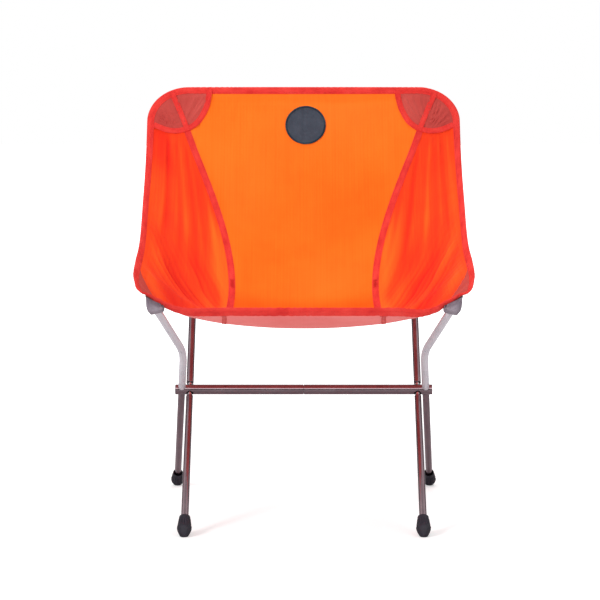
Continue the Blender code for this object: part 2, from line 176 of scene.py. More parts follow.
class Material(Nodes):
    """A material built around its Principled BSDF."""

    def __init__(self, name, rough, metallic=0.0):
        self.data = bpy.data.materials.new(name)
        self.data.use_nodes = True
        super().__init__(self.data.node_tree)
        self.shade({"Roughness": rough, "Metallic": metallic})

    def shade(self, values):
        for name, value in values.items():
            self.feed(self.tree.nodes["Principled BSDF"].inputs[name], value)

    def uv(self):
        return self.node("ShaderNodeUVMap", uv_map="UVMap").outputs[0]

    def bump(self, height, distance, strength, below=None):
        node = self.node("ShaderNodeBump")
        for name, value in (("Distance", distance), ("Strength", strength), ("Height", height)):
            self.feed(node.inputs[name], value)
        if below is not None:
            self.feed(node.inputs["Normal"], below)
        return node.outputs[0]


# ------------------------------------------------------------------ materials
# colours are (base, dark, light), as 8-bit sRGB
def fabric(name, colours, rip=0.0052, rip_amount=0.5, painted_light_shade_colours=()):
    """Ripstop: fine plain weave, a grid of thicker threads, soft uneven colour.

    The extra colours given are the cloth's painted shade (darker) and painted light (lighter),
    which the per-point attribute of painted light and shade mixes in."""
    rough = 0.72
    thread = 0.0009                # period of the plain weave
    line_width = 0.16              # thick threads, as a share of the rip pitch
    mat = Material(name, rough)
    base, dark, light = map(srgb, colours)
    uv = mat.uv()
    u, v = mat.split(uv)[:2]

    def rip_lines(coordinate):
        cell = mat.math("FRACT", mat.math("DIVIDE", coordinate, rip))
        off_middle = mat.math("ABSOLUTE", mat.math("SUBTRACT", cell, 0.5))
        return mat.remap(off_middle, (0.5 - line_width, 0.5), (0.0, 1.0))

    lines = mat.math("MAXIMUM", rip_lines(u), mat.math("MULTIPLY", rip_lines(v), 0.55))
    weave = mat.math("MULTIPLY", mat.sine(u, thread), mat.sine(v, thread))
    cloud = mat.stretched_noise(uv, (9.0, 9.0, 9.0), detail=4.0, rough=0.55)
    streak = mat.stretched_noise(uv, (420.0, 5.0, 1.0), detail=2.0)
    colour = mat.ramp(cloud, [(0.28, dark), (0.5, base), (0.74, light)])
    colour = mat.mix(mat.remap(streak, (0.3, 0.7), (0.0, 0.16)), colour, light)
    colour = mat.mix(mat.math("MULTIPLY", lines, 0.55 * rip_amount), colour, dark)
    # painted light and shade: a per-point attribute mixes in the darker colour where the cloth
    # should look shaded and the lighter colour where it should look lit
    if painted_light_shade_colours:
        painted_light_shade_factor = mat.node("ShaderNodeAttribute", attribute_name="painted_light_shade").outputs["Fac"]
        shade = mat.math("ADD", painted_light_shade_factor, mat.remap(streak, (0.3, 0.7), (-0.05, 0.05)))
        for limit, painted_light_shade_colour in zip((0.0, 1.0), painted_light_shade_colours):
            amount = mat.remap(shade, (0.5, limit), (0.0, 1.0))
            colour = mat.mix(amount, colour, srgb(painted_light_shade_colour))
    colour = mat.mix(mat.remap(weave, (-1, 1), (0.0, 0.05)), colour, dark)
    threads = mat.math("ADD", mat.math("MULTIPLY", lines, 0.9), mat.math("MULTIPLY", weave, 0.25))
    rumple = mat.stretched_noise(uv, (60.0, 60.0, 1.0), detail=4.0)
    soft = mat.bump(rumple, distance=0.0010, strength=0.35)
    mat.shade({
        "Base Color": colour,
        "Normal": mat.bump(threads, distance=0.00012, strength=0.5 * rip_amount + 0.15,
                           below=soft),
        "Roughness": mat.remap(cloud, (0.3, 0.7), (rough - 0.06, rough + 0.06)),
        "Sheen Weight": 0.04,
        "Sheen Roughness": 0.45,
        "Specular IOR Level": 0.10,
    })
    return mat.data


def tape(name, colours, rib=0.0011):
    """Grosgrain tape: ribs across its length, slightly fuzzy, a little uneven."""
    mat = Material(name, rough=0.78)
    base, dark, light = map(srgb, colours)
    uv = mat.uv()
    u, v = mat.split(uv)[:2]
    ribs = mat.sine(u, rib)
    cross = mat.sine(v, 0.0007)
    cloud = mat.stretched_noise(uv, (30.0, 60.0, 1.0), detail=4.0)
    colour = mat.ramp(cloud, [(0.3, dark), (0.5, base), (0.72, light)])
    height = mat.math("ADD", mat.math("MULTIPLY", ribs, 0.6), mat.math("MULTIPLY", cross, 0.2))
    mat.shade({
        "Base Color": mat.mix(mat.remap(ribs, (-1, 1), (0.0, 0.14)), colour, dark),
        "Normal": mat.bump(height, distance=0.00018, strength=0.8),
        "Sheen Weight": 0.04,
        "Specular IOR Level": 0.10,
    })
    return mat.data


def metal(name, colours, rough, coat=0.0, metallic=1.0):
    """Anodised tube: brushed streaks along the tube and faint smudges."""
    mat = Material(name, rough, metallic)
    base, dark, light = map(srgb, colours)
    uv = mat.uv()
    streak = mat.stretched_noise(uv, (14.0, 900.0, 1.0), detail=3.0)
    smudge = mat.stretched_noise(uv, (26.0, 60.0, 1.0), detail=4.0)
    colour = mat.ramp(smudge, [(0.3, dark), (0.52, base), (0.75, light)])
    mat.shade({
        "Base Color": mat.mix(mat.remap(streak, (0.35, 0.65), (0.0, 0.12)), colour, light),
        "Roughness": mat.math("ADD",
                              mat.remap(smudge, (0.3, 0.7), (rough - 0.05, rough + 0.07)),
                              mat.remap(streak, (0.3, 0.7), (-0.03, 0.05))),
        "Normal": mat.bump(streak, distance=0.00003, strength=0.5),
        "Coat Weight": coat,
        "Coat Roughness": 0.12,
    })
    return mat.data


def moulded(name, dark, light, rough=0.62, grain=900.0):
    """Moulded rubber or plastic with a fine grain; also used for near-black painted shade inside
    the tubes.
    """
    mat = Material(name, rough)
    coords = mat.coords()
    fine = mat.noise(coords, scale=grain, rough=0.6)
    cloud = mat.noise(coords, scale=70.0)
    mat.shade({
        "Base Color": mat.ramp(cloud, [(0.3, srgb(dark)), (0.7, srgb(light))]),
        "Roughness": mat.remap(cloud, (0.3, 0.7), (rough - 0.08, rough + 0.1)),
        "Normal": mat.bump(fine, distance=0.0002, strength=0.5),
    })
    return mat.data


def braid(name, dark, light):
    """Braided cord: diagonal bands."""
    mat = Material(name, rough=0.85)
    bands = mat.node("ShaderNodeTexWave", wave_type="BANDS", bands_direction="DIAGONAL")
    for input_name, value in (("Scale", 260.0), ("Distortion", 1.5), ("Vector", mat.coords())):
        mat.feed(bands.inputs[input_name], value)
    mat.shade({
        "Base Color": mat.mix(bands.outputs[1], srgb(dark), srgb(light)),
        "Normal": mat.bump(bands.outputs[1], distance=0.0003, strength=0.8),
    })
    return mat.data


def badge_cloth(name):
    """Dark cloth covered in slanting threads."""
    mat = Material(name, rough=0.8)
    uv = mat.uv()
    u, v = mat.split(uv)[:2]
    thread = mat.sine(mat.math("ADD", u, v), 0.0011)
    cloud = mat.stretched_noise(uv, (60.0, 60.0, 1.0), detail=3.0)
    colour = mat.ramp(cloud, [(0.3, srgb((52, 60, 74))), (0.7, srgb((66, 74, 88)))])
    amount = mat.remap(thread, (-1, 1), (0.0, 0.22))
    mat.shade({
        "Base Color": mat.mix(amount, colour, srgb((28, 34, 46))),
        "Normal": mat.bump(thread, distance=0.0002, strength=0.6),
        "Sheen Weight": 0.25,
    })
    return mat.data


# the second pair of colours for the sling cloths is painted shade and painted light, which the
# per-point attribute mixes in
ORANGE = fabric("panel_fabric", ((255, 114, 28), (254, 104, 22), (255, 122, 34)),
                painted_light_shade_colours=((252, 84, 12), (255, 130, 44)))
RED = fabric("wing_fabric", ((248, 70, 27), (240, 58, 30), (252, 80, 30)),
             painted_light_shade_colours=((232, 40, 26), (255, 108, 34)))
# the back of the cloth is pinker than the front; its colour is also lightened as painted light
# from the floor bounce
UNDERSIDE = fabric("panel_underside", ((252, 132, 128), (246, 118, 114), (255, 142, 138)),
                   rip_amount=0.3)
FELL = tape("felled_seam", ((232, 100, 94), (216, 84, 80), (242, 112, 106)), rib=0.0009)
PATCH = fabric("corner_fabric", ((190, 72, 66), (176, 60, 56), (204, 86, 78)),
               rip=0.0016, rip_amount=0.8)
PATCH_UNDER = fabric("corner_underside", ((214, 104, 84), (196, 86, 70), (226, 118, 98)),
                     rip=0.0016)
TAPE = tape("edge_tape", ((234, 62, 56), (214, 46, 44), (243, 76, 68)))
THREAD = moulded("stitch_thread", (206, 36, 38), (224, 54, 50), rough=0.8, grain=1500.0)
WEBBING = tape("webbing", ((140, 128, 138), (96, 86, 98), (164, 152, 162)), rib=0.0022)
BRONZE = metal("bronze_tube", ((148, 126, 132), (136, 112, 118), (160, 140, 144)),
               rough=0.15, coat=0.15)
SILVER = metal("silver_tube", ((226, 220, 227), (216, 211, 219), (234, 230, 235)),
               rough=0.30, coat=0.1, metallic=0.38)
ALLOY = metal("bare_alloy", ((214, 212, 214), (196, 194, 198), (230, 230, 232)), rough=0.18)
# near-black painted shade for the insides of the tube ends and the walls of the crossbar's socket
# holes
BORE_SHADE = moulded("tube_bore_shade", (20, 17, 20), (34, 30, 34), rough=0.6)
RUBBER = moulded("foot_rubber", (27, 23, 33), (40, 36, 47), rough=0.55)
PLASTIC = moulded("black_plastic", (34, 32, 36), (50, 48, 52), rough=0.45)
CORD = braid("cord", (46, 44, 50), (150, 60, 56))


# ------------------------------------------------------------------ curve tools
def unit(vectors):
    return vectors / np.maximum(np.linalg.norm(vectors, axis=-1, keepdims=True), 1e-12)


def ease(low, high, x):
    """Smooth step from 0 at low to 1 at high."""
    x = np.clip((x - low) / (high - low), 0, 1)
    return x * x * (3 - 2 * x)


def window(x, rise, fall):
    """Eases in over rise (low, high) and out over fall (low, high)."""
    return ease(*rise, x) * (1 - ease(*fall, x))


def bell(x, width):
    return np.exp(-(x / width) ** 2)


def spline(before, start, end, after, f):
    """Catmull-Rom point at share f from start to end."""
    return 0.5 * (2 * start + (end - before) * f
                  + (2 * before - 5 * start + 4 * end - after) * f * f
                  + (3 * start - before - 3 * end + after) * f ** 3)


def catmull(points, count):
    """Smooth curve through control points."""
    points = np.asarray(points, float)
    points = np.concatenate([[2 * points[0] - points[1]], points,
                             [2 * points[-1] - points[-2]]])
    spans = len(points) - 3
    x = np.linspace(0, spans, count)
    i = np.minimum(x.astype(int), spans - 1)
    return spline(*(points[i + k] for k in range(4)), (x - i)[:, None])


def bezier(controls, u):
    degree = len(controls) - 1
    return sum(math.comb(degree, i) * (1 - u) ** (degree - i) * u ** i * control
               for i, control in enumerate(controls))


def arc_length(points):
    """Running distance along a path."""
    steps = np.linalg.norm(np.diff(points, axis=0), axis=1)
    return np.concatenate([[0], np.cumsum(steps)])


def relax(directions, passes):
    """Smooths unit directions along a path, in place, with its ends held."""
    for _ in range(passes):
        directions[1:-1] = unit(directions[1:-1] * 2 + directions[:-2] + directions[2:])


def path_tangents(points):
    steps = unit(np.diff(points, axis=0))
    return unit(np.concatenate([steps[:1], steps[:-1] + steps[1:], steps[-1:]]))


def across(points, normals):
    """Sideways directions of a path that lies on a surface."""
    return unit(np.cross(normals, unit(np.gradient(points, axis=0))))


def turn(count):
    return np.linspace(0, 2 * math.pi, count, endpoint=False)


def circle(centre, radius, first, second, angles):
    rays = np.cos(angles)[:, None] * first + np.sin(angles)[:, None] * second
    return centre + np.asarray(radius)[..., None] * rays


def fillet(points, radius, steps=14):
    """Path with each inner corner rounded."""
    points = [Vector(point) for point in points]
    out = [points[0]]
    for before, corner, after in zip(points, points[1:], points[2:]):
        back, ahead = (before - corner).normalized(), (after - corner).normalized()
        half = back.angle(ahead) / 2
        cut = radius / math.tan(half)
        centre = corner + (back + ahead).normalized() * (radius / math.sin(half))
        start, end = corner + back * cut - centre, corner + ahead * cut - centre
        angle = start.angle(end)
        axis = start.cross(end).normalized()
        for i in range(steps):
            out.append(centre + Matrix.Rotation(angle * i / (steps - 1), 3, axis) @ start)
    out.append(points[-1])
    return out


def along(path, first, last):
    """The stretch of a path between two distances from its start."""
    found, position = [], 0.0

    def is_new(point):
        return not any((point - other).length < 1e-7 for _, other in found)

    for start, end in zip(path, path[1:]):
        step = (end - start).length
        for distance in (first, last):
            if position <= distance <= position + step + 1e-12 and step > 0:
                point = start.lerp(end, (distance - position) / step)
                if is_new(point):
                    found.append((distance, point))
        if first < position + step < last and is_new(end):
            found.append((position + step, end.copy()))
        position += step
    return [point for _, point in sorted(found, key=lambda item: item[0])]


def path_length(path):
    return sum((end - start).length for start, end in zip(path, path[1:]))


# ------------------------------------------------------------------ mesh tools
def add_object(name, verts, faces, mats, uvs=None, face_mats=None):
    mesh = bpy.data.meshes.new(name)
    mesh.from_pydata([tuple(vert) for vert in verts], [], [tuple(face) for face in faces])
    for mat in mats:
        mesh.materials.append(mat)
    if face_mats is not None:
        mesh.polygons.foreach_set("material_index", face_mats)
    mesh.polygons.foreach_set("use_smooth", [True] * len(mesh.polygons))
    if uvs is not None:
        layer = mesh.uv_layers.new(name="UVMap")
        index = np.zeros(len(mesh.loops), np.int32)
        mesh.loops.foreach_get("vertex_index", index)
        layer.data.foreach_set("uv", np.asarray(uvs, np.float32)[index].ravel())
    mesh.update()
    return link_object(name, mesh)


def link_object(name, data):
    ob = bpy.data.objects.new(name, data)
    bpy.context.scene.collection.objects.link(ob)
    return ob


def mark_sharp(mesh, degrees):
    bm = bmesh.new()
    bm.from_mesh(mesh)
    limit = math.radians(degrees)
    for edge in bm.edges:
        if len(edge.link_faces) == 2 and edge.calc_face_angle(0.0) > limit:
            edge.smooth = False
    bm.to_mesh(mesh)
    bm.free()


def fix_normals(ob):
    bm = bmesh.new()
    bm.from_mesh(ob.data)
    bmesh.ops.recalc_face_normals(bm, faces=bm.faces)
    bm.to_mesh(ob.data)
    bm.free()


def place(ob, body, slot, *cad):
    """Ties an object to its moving body and hides the pieces it replaces; the slot argument is not
    used.
    """
    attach(ob, body)
    if cad:
        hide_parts(*cad)
    return ob


def shell(name, points, normals, height, half_thick, mats, uv, flip=False):
    """Closed sheet at a height over a grid of points; mats are its front and back.

    Rows run down the sling. flip reverses the columns, so that they run to +X."""
    front = points + normals * np.asarray(height + half_thick)[..., None]
    back = points + normals * np.asarray(height - half_thick)[..., None]
    if flip:
        front, back, uv = front[:, ::-1], back[:, ::-1], uv[:, ::-1]
    rows, cols = front.shape[:2]
    offset = rows * cols
    index = np.arange(offset).reshape(rows, cols)
    a, b, c, d = (part.ravel() for part in
                  (index[:-1, :-1], index[:-1, 1:], index[1:, 1:], index[1:, :-1]))

    def rim(line, order):
        start, end = line[:-1], line[1:]
        corners = (start, start + offset, end + offset, end)
        return np.stack([corners[k] for k in order], 1)

    onward, reverse = (0, 1, 2, 3), (0, 3, 2, 1)
    faces = np.concatenate([
        np.stack([a, d, c, b], 1), np.stack([a, b, c, d], 1) + offset,
        rim(index[:, 0], onward), rim(index[:, -1], reverse),
        rim(index[0], reverse), rim(index[-1], onward)])
    face_mats = np.zeros(len(faces), np.int32)
    face_mats[len(a):2 * len(a)] = 1
    verts = np.concatenate([front.reshape(-1, 3), back.reshape(-1, 3)])
    uvs = np.concatenate([uv.reshape(-1, 2)] * 2)
    ob = add_object(name, verts, faces.tolist(), mats, uvs, face_mats)
    mark_sharp(ob.data, 60)
    return ob


def loft(name, rings, mats, uv, sharp=None, closed=False):
    """Skin over cross-section rings[ring, point, xyz], capped or closed into a loop."""
    count, segs = rings.shape[:2]
    index = np.arange(count * segs).reshape(count, segs)
    beside = np.roll(index, -1, axis=1)
    quads = np.stack([index, beside, np.roll(beside, -1, 0), np.roll(index, -1, 0)], -1)
    if closed:
        faces = quads.reshape(-1, 4).tolist()
    else:
        faces = quads[:-1].reshape(-1, 4).tolist()
        faces += [index[0, ::-1].tolist(), index[-1].tolist()]
    ob = add_object(name, rings.reshape(-1, 3), faces, mats, uv.reshape(-1, 2))
    fix_normals(ob)
    if sharp is not None:
        mark_sharp(ob.data, sharp)
    return ob


def ring_uv(lengths, widths):
    """UVs of lofted rings: u along the piece, v round each ring."""
    return np.stack(np.meshgrid(lengths, widths, indexing="ij"), -1)


def path_frames(points):
    """Two directions square to a path at each point, with no twist."""
    tangents = path_tangents(points)
    up = np.array([1.0, 0, 0]) if abs(tangents[0][0]) < 0.9 else np.array([0, 0, 1.0])
    firsts, seconds = [], []
    for tangent in tangents:
        first = up - tangent * (up @ tangent)
        first /= np.linalg.norm(first)
        firsts.append(first)
        seconds.append(np.cross(tangent, first))
        up = first
    return firsts, seconds


def tube(name, path, radius, bore, mats, segs=40, lip=0.0005):
    """Tube with rolled end lips and a blind bore at each end, in the second material, which is
    near-black painted shade.
    """
    path = np.asarray([tuple(point) for point in path], float)
    run = arc_length(path)
    steps = np.diff(run)
    total = run[-1]
    firsts, seconds = path_frames(path)
    quarter = math.pi / 2
    # (distance from the tube's end, radius), from the bottom of the bore to the outer wall
    end = [(min(0.012, total / 3), bore)]
    end += [(lip * (1 - math.cos(x)), bore + lip * 0.6 * (1 - math.sin(x)))
            for x in (quarter, quarter / 2, 0.0)]
    end.append((0.0, radius - lip))
    end += [(lip * (1 - math.cos(x)), radius - lip + lip * math.sin(x))
            for x in (quarter / 3, quarter * 2 / 3, quarter)]
    rows = end + [(distance, radius) for distance in run[1:-1]
                  if lip * 1.5 < distance < total - lip * 1.5]
    rows += [(total - distance, ring_r) for distance, ring_r in reversed(end)]
    angles = turn(segs)
    rings, uvs = [], []
    for distance, ring_r in rows:
        k = min(max(np.searchsorted(run, distance, side="right") - 1, 0), len(path) - 2)
        f = (distance - run[k]) / max(steps[k], 1e-12)
        centre = path[k] + (path[k + 1] - path[k]) * f
        first, second = (unit(axes[k] * (1 - f) + axes[k + 1] * f)
                         for axes in (firsts, seconds))
        rings.append(circle(centre, ring_r, first, second, angles))
        uvs.append(np.stack([np.full(segs, distance), angles * ring_r], 1))
    ob = loft(name, np.array(rings), mats, np.array(uvs), sharp=50)
    # the bore faces get the second material, the painted shade
    if len(mats) > 1:
        last = len(rows) - 1
        in_bore = []
        for face in ob.data.polygons:
            low, high = min(face.vertices) // segs, max(face.vertices) // segs
            in_bore.append(int(low == high or (low, high) in ((0, 1), (last - 1, last))))
        ob.data.polygons.foreach_set("material_index", in_bore)
    return ob


# ------------------------------------------------------------------ sling surface
# A place on the sling is a distance down from the top edge, and either x or a share of
# the half width from -1 (left) to 1 (right). Rows of the grid go from 0 to 1 and crowd
# together round the top corners.
ROUND_ROW = (ROUND_R * math.pi / 2) / (SLING_LEN - ROUND_R + ROUND_R * math.pi / 2)
DOWN_PER_ROW = ROUND_R * math.pi / 2 / ROUND_ROW


def row_to_down(row):
    row = np.asarray(row, float)
    rounded = ROUND_R * (1 - np.cos(np.pi / 2 * np.minimum(row, ROUND_ROW) / ROUND_ROW))
    return np.where(row < ROUND_ROW, rounded, ROUND_R + (row - ROUND_ROW) * DOWN_PER_ROW)


def down_to_row(down):
    down = np.asarray(down, float)
    rounded = ROUND_ROW * 2 / np.pi * np.arccos(np.clip(1 - down / ROUND_R, -1, 1))
    return np.where(down < ROUND_R, rounded, ROUND_ROW + (down - ROUND_R) / DOWN_PER_ROW)


def half_width(down):
    down = np.asarray(down, float)
    part = down / SLING_LEN
    corner = np.clip(ROUND_R - down, 0, None)
    waist = 0.0026 * ease(0.24, 0.40, down) * (1 - ease(0.50, 0.62, down))
    return (0.2580 - 0.004 * part - 0.018 * part ** 8 - waist
            + np.sqrt(np.clip(ROUND_R * ROUND_R - corner * corner, 0, None)) - ROUND_R)


def seam_share(down):
    return bezier(SEAM, np.asarray(down, float) / SLING_LEN)


def seam_x(down):
    return seam_share(down) * half_width(down)


def base_surface(down, share):
    """The smooth sling, blended from its centre line to its edge line."""
    down, share = np.broadcast_arrays(np.asarray(down, float), np.asarray(share, float))
    part = np.clip(down / SLING_LEN, 0, 1)
    centre, edge = (bezier(np.asarray(line), part[..., None]) for line in (CENTRE, EDGE))
    power = 2.6 + 4.4 * ease(0.75, 1, part)     # flatter middle towards the front
    profile = centre + (edge - centre) * (np.abs(share) ** power)[..., None]
    taut = 0.0080 * ease(0.62, 0.78, part) * (1 - ease(0.93, 1, part))
    return np.stack([half_width(down) * share, BAR_Y + profile[..., 0],
                     profile[..., 1] + taut], -1)


def sling_grid(rows, cols):
    """Distances down, shares and base points of a grid."""
    down = row_to_down(np.linspace(0, 1, rows))[:, None] * np.ones((1, cols))
    share = np.linspace(-1, 1, cols)[None, :]
    return down, share, base_surface(down, share)


def grid_normals(grid):
    return -unit(np.cross(np.gradient(grid, axis=1), np.gradient(grid, axis=0)))


# (centre, width, height, start down, stop down) of the creases on the seat wings
CREASES = ((0.1250, 0.0030, 1.1, 0.30, 0.42), (0.1375, 0.0022, 0.7, 0.33, 0.46),
           (0.1500, 0.0036, 1.3, 0.34, 0.52), (0.1615, 0.0024, 0.8, 0.39, 0.55),
           (0.1770, 0.0040, 1.5, 0.33, 0.58), (0.1860, 0.0020, 0.8, 0.42, 0.58),
           (0.1960, 0.0034, 1.3, 0.36, 0.60), (0.2090, 0.0050, 0.9, 0.30, 0.52))
# where the wing creases start to fade, down the sling, at shares of the half width
FADE_SHARES = (0.45, 0.60, 0.70, 0.80, 0.90, 1.0)
FADE_DOWNS = (0.44, 0.53, 0.565, 0.60, 0.635, 0.645)


def wing_creases(down, off_middle, share, side):
    """Creases that run down the wing and slant in toward the front edge."""
    slant = (off_middle + 0.42 * (down - 0.45) + 0.0035 * np.sin(down * 31 + 1.1 * side)
             + 0.0016 * np.sin(down * 83 + 2 * side))
    creases = 0.0
    for k, (centre, width, height, start, stop) in enumerate(CREASES):
        centre = centre + 0.0022 * side * math.cos(k * 2.1) + 0.0020 * side
        run = window(down, (start, start + 0.06), (stop - 0.02, stop + 0.05))
        valley = bell(slant - centre, width)
        ridge = 0.55 * bell(slant - centre - 1.9 * width, 1.4 * width)
        creases = creases - 0.0010 * height * run * (valley - ridge)
    fine = 0.00035 * np.sin(slant * 520 + 1.5 * np.sin(down * 17)) * (1 - ease(0.20, 0.225, slant))
    broad = 0.0010 * np.sin(slant * 95 + 0.7 * side + 5 * down)
    fade = np.interp(share, FADE_SHARES, FADE_DOWNS)
    return window(down, (0.24, 0.36), (fade, fade + 0.05)) * (creases + fine + broad)


def hanging_folds(down, off_middle, side):
    """Long soft folds hanging from the top corners."""
    angle = (np.arctan2(off_middle - 0.232 - 0.006 * side, down + 0.16)
             + 0.010 * np.sin(down * 14 + side))
    waves = (0.8 * np.sin(angle * 47 + side * 0.9) + 0.85 * np.sin(angle * 118 + 1.1 + side)
             + 0.35 * np.sin(angle * 211 + 0.4))
    return 0.0010 * window(down, (0.075, 0.11), (0.22, 0.36)) * waves


def folds(down, x):
    """Height of the folds and gathers over the sling."""
    side = np.sign(x)
    off_middle = np.abs(x)
    share = off_middle / half_width(down)
    seam = seam_share(down)
    wing = ease(seam + 0.015, seam + 0.07, share)
    panel = 1 - ease(seam - 0.10, seam - 0.01, share)
    # two creases under the top edge, the second only toward -X
    crease = -0.0009 * bell(down - 0.0180 - 0.0015 * np.sin(x * 30), 0.004) * panel
    crease += (-0.0004 * bell(down - 0.030 - 0.003 * np.sin(x * 19 + 1), 0.005) * panel
               * ease(-0.02, 0.06, -x))
    gather = (0.0004 * window(down, (0.33, 0.38), (0.40, 0.46))
              * np.sin(x * 120 + 0.8 * np.sin(down * 40)) * panel)
    soft = (0.0013 * np.sin(down * 22 + 1.2) * np.sin(x * 17 + 0.6) * panel
            * (1 - ease(0.34, 0.44, down)))
    inside = (window(down, (0.010, 0.030), (SLING_LEN - 0.034, SLING_LEN - 0.014))
              * (1 - ease(0.90, 0.965, share)))
    on_wing = wing_creases(down, off_middle, share, side) + hanging_folds(down, off_middle, side)
    return (on_wing * wing + gather + soft) * inside + crease


def resample(field, rows, cols):
    """Resamples a displacement grid."""
    row_at = np.linspace(0, field.shape[0] - 1, rows)
    col_at = np.linspace(0, field.shape[1] - 1, cols)
    i = np.minimum(row_at.astype(int), field.shape[0] - 2)
    j = np.minimum(col_at.astype(int), field.shape[1] - 2)
    f, g = ease(0, 1, row_at - i)[:, None, None], ease(0, 1, col_at - j)[None, :, None]
    upper = field[i][:, j] * (1 - g) + field[i][:, j + 1] * g
    lower = field[i + 1][:, j] * (1 - g) + field[i + 1][:, j + 1] * g
    return upper * (1 - f) + lower * f


def pin_weights(down, share):
    """Held at the edges and top corners, and lightly along the seams."""
    share = np.abs(share) * np.ones_like(down)
    held = np.maximum(ease(0.948, 0.960, share), 1 - ease(0.008, 0.014, down))
    held = np.maximum(held, ease(SLING_LEN - 0.016, SLING_LEN - 0.010, down))
    held = np.maximum(held, (1 - ease(0.05, 0.09, down)) * ease(0.66, 0.72, share))
    return np.maximum(held, 0.10 * bell(share - seam_share(down), 0.02))


def drape(full):
    """Cloth pass: the sheet hangs between its taped edges and settles for a few frames."""
    rows, cols, last_frame = 76, 97, 16
    largest_shift = 0.0035
    down, share, start = sling_grid(rows, cols)
    index = np.arange(rows * cols).reshape(rows, cols)
    faces = np.stack([index[:-1, :-1], index[:-1, 1:], index[1:, 1:], index[1:, :-1]], -1)
    mesh = bpy.data.meshes.new("drape")
    mesh.from_pydata([tuple(point) for point in start.reshape(-1, 3)], [],
                     faces.reshape(-1, 4).tolist())
    ob = link_object("drape", mesh)
    group = ob.vertex_groups.new(name="pin")
    weights = pin_weights(down, share).ravel()
    for level in range(1, 21):
        at_level = (weights > (level - 0.5) / 20) & (weights <= (level + 0.5) / 20)
        ids = np.nonzero(at_level)[0].tolist()
        if ids:
            group.add(ids, level / 20, "REPLACE")
    mod = ob.modifiers.new("cloth", "CLOTH")
    settings = mod.settings
    settings.quality = 6
    settings.mass = 0.12
    settings.tension_stiffness = settings.compression_stiffness = 18
    settings.shear_stiffness = 6
    settings.bending_stiffness = 0.08
    settings.tension_damping = settings.compression_damping = 12
    settings.air_damping = 3
    settings.vertex_group_mass = "pin"
    settings.pin_stiffness = 1.0
    settings.shrink_min = -0.006
    settings.effector_weights.gravity = 0.5
    mod.collision_settings.use_collision = False
    mod.point_cache.frame_start = 1
    mod.point_cache.frame_end = last_frame
    scene = bpy.context.scene
    scene.frame_start, scene.frame_end = 1, last_frame
    for number in range(1, last_frame + 1):
        scene.frame_set(number)
    settled = ob.evaluated_get(bpy.context.evaluated_depsgraph_get()).to_mesh()
    places = np.zeros(len(settled.vertices) * 3)
    settled.vertices.foreach_get("co", places)
    scene.frame_set(1)
    bpy.data.objects.remove(ob, do_unlink=True)
    shift = places.reshape(rows, cols, 3) - start
    size = np.linalg.norm(shift, axis=-1, keepdims=True)
    shift = shift * (largest_shift * np.tanh(size / largest_shift) / np.maximum(size, 1e-9))
    return full + resample(shift, *full.shape[:2])


GRID_ROWS, GRID_COLS = 150, 193
grid_down, grid_share, sheet = sling_grid(GRID_ROWS, GRID_COLS)
sheet = drape(sheet)
grid_x = half_width(grid_down) * grid_share
sheet = sheet + grid_normals(sheet) * folds(grid_down, grid_x)[..., None]
sheet_normals = grid_normals(sheet)


def sample(grid, down, share):
    """Bicubic value of a sheet grid."""
    row_at = np.clip(down_to_row(np.clip(down, 0, SLING_LEN)), 0, 1) * (GRID_ROWS - 1)
    col_at = (np.clip(share, -1, 1) + 1) / 2 * (GRID_COLS - 1)
    i = np.clip(np.floor(row_at).astype(int), 0, GRID_ROWS - 2)
    j = np.clip(np.floor(col_at).astype(int), 0, GRID_COLS - 2)
    f, g = (row_at - i)[..., None], (col_at - j)[..., None]
    rows = []
    for row_step in (-1, 0, 1, 2):
        row = np.clip(i + row_step, 0, GRID_ROWS - 1)
        rows.append(spline(*(grid[row, np.clip(j + col_step, 0, GRID_COLS - 1)]
                             for col_step in (-1, 0, 1, 2)), g))
    return spline(*rows, f)


def pucker(down, x):
    """Short ripples drawn up by the stitching along the tapes."""
    off_middle = np.abs(x)
    # along the seams, the sides, the top edge and the front edge
    out = (0.00035 * bell(off_middle - seam_x(down), 0.009)
           * np.sin(down * 1100 + 2 * np.sin(down * 90)) * ease(0.10, 0.16, down))
    out += (0.00040 * bell(half_width(down) - off_middle, 0.020)
            * np.sin(down * 900 + 3 * np.sin(down * 70)) * ease(0.02, 0.07, down))
    out += 0.00035 * bell(down, 0.022) * np.sin(x * 760 + 3 * np.sin(x * 60))
    out += 0.00045 * bell(SLING_LEN - down, 0.024) * np.sin(x * 640 + 3 * np.sin(x * 80))
    return out * (0.6 + 0.4 * np.sin(x * 37 + down * 51))


def surface(down, share):
    """Point on the finished sling."""
    down, share = np.broadcast_arrays(np.asarray(down, float), np.asarray(share, float))
    ripple = pucker(down, half_width(down) * share)[..., None]
    points = sample(sheet, down, share) + sample(sheet_normals, down, share) * ripple
    off_middle = np.abs(share)
    beyond = ease(0.93, 1.0, off_middle)
    # the front edge curls back and up
    curl = np.clip((down - (SLING_LEN - 0.018)) / 0.018, 0, 1) ** 1.35
    curl_up = (1 - 0.35 * ease(0.45, 0.75, off_middle)) * (1 - 0.75 * beyond)
    # the edge sags a little on either side of each arm end, more on the right
    beside = window(off_middle, (0.58, 0.74), (0.78, 0.865))
    sag = np.where(share > 0, 0.0040 * beside + 0.0060 * beyond,
                   0.0016 * beside + 0.0040 * beyond) * ease(0.53, 0.64, down)
    top = 1 - ease(0.0, 0.12, down)
    shift_y = 0.0085 * curl * (1 - 0.6 * beyond) + 0.0004 * top
    shift_z = 0.0066 * curl * curl_up - sag + 0.0016 * top
    return points + np.stack([np.zeros_like(top), shift_y, shift_z], -1)


def front_normal(down, share):
    """Unit normal towards the sitter."""
    down, share = np.broadcast_arrays(np.asarray(down, float), np.asarray(share, float))
    share_step, down_step = 0.004, 0.0025
    sideways = (surface(down, np.clip(share + share_step, -1, 1))
                - surface(down, np.clip(share - share_step, -1, 1)))
    downward = (surface(np.clip(down + down_step, 0, SLING_LEN), share)
                - surface(np.clip(down - down_step, 0, SLING_LEN), share))
    return -unit(np.cross(sideways, downward))


def on_sling(down, share):
    return surface(down, share), front_normal(down, share)


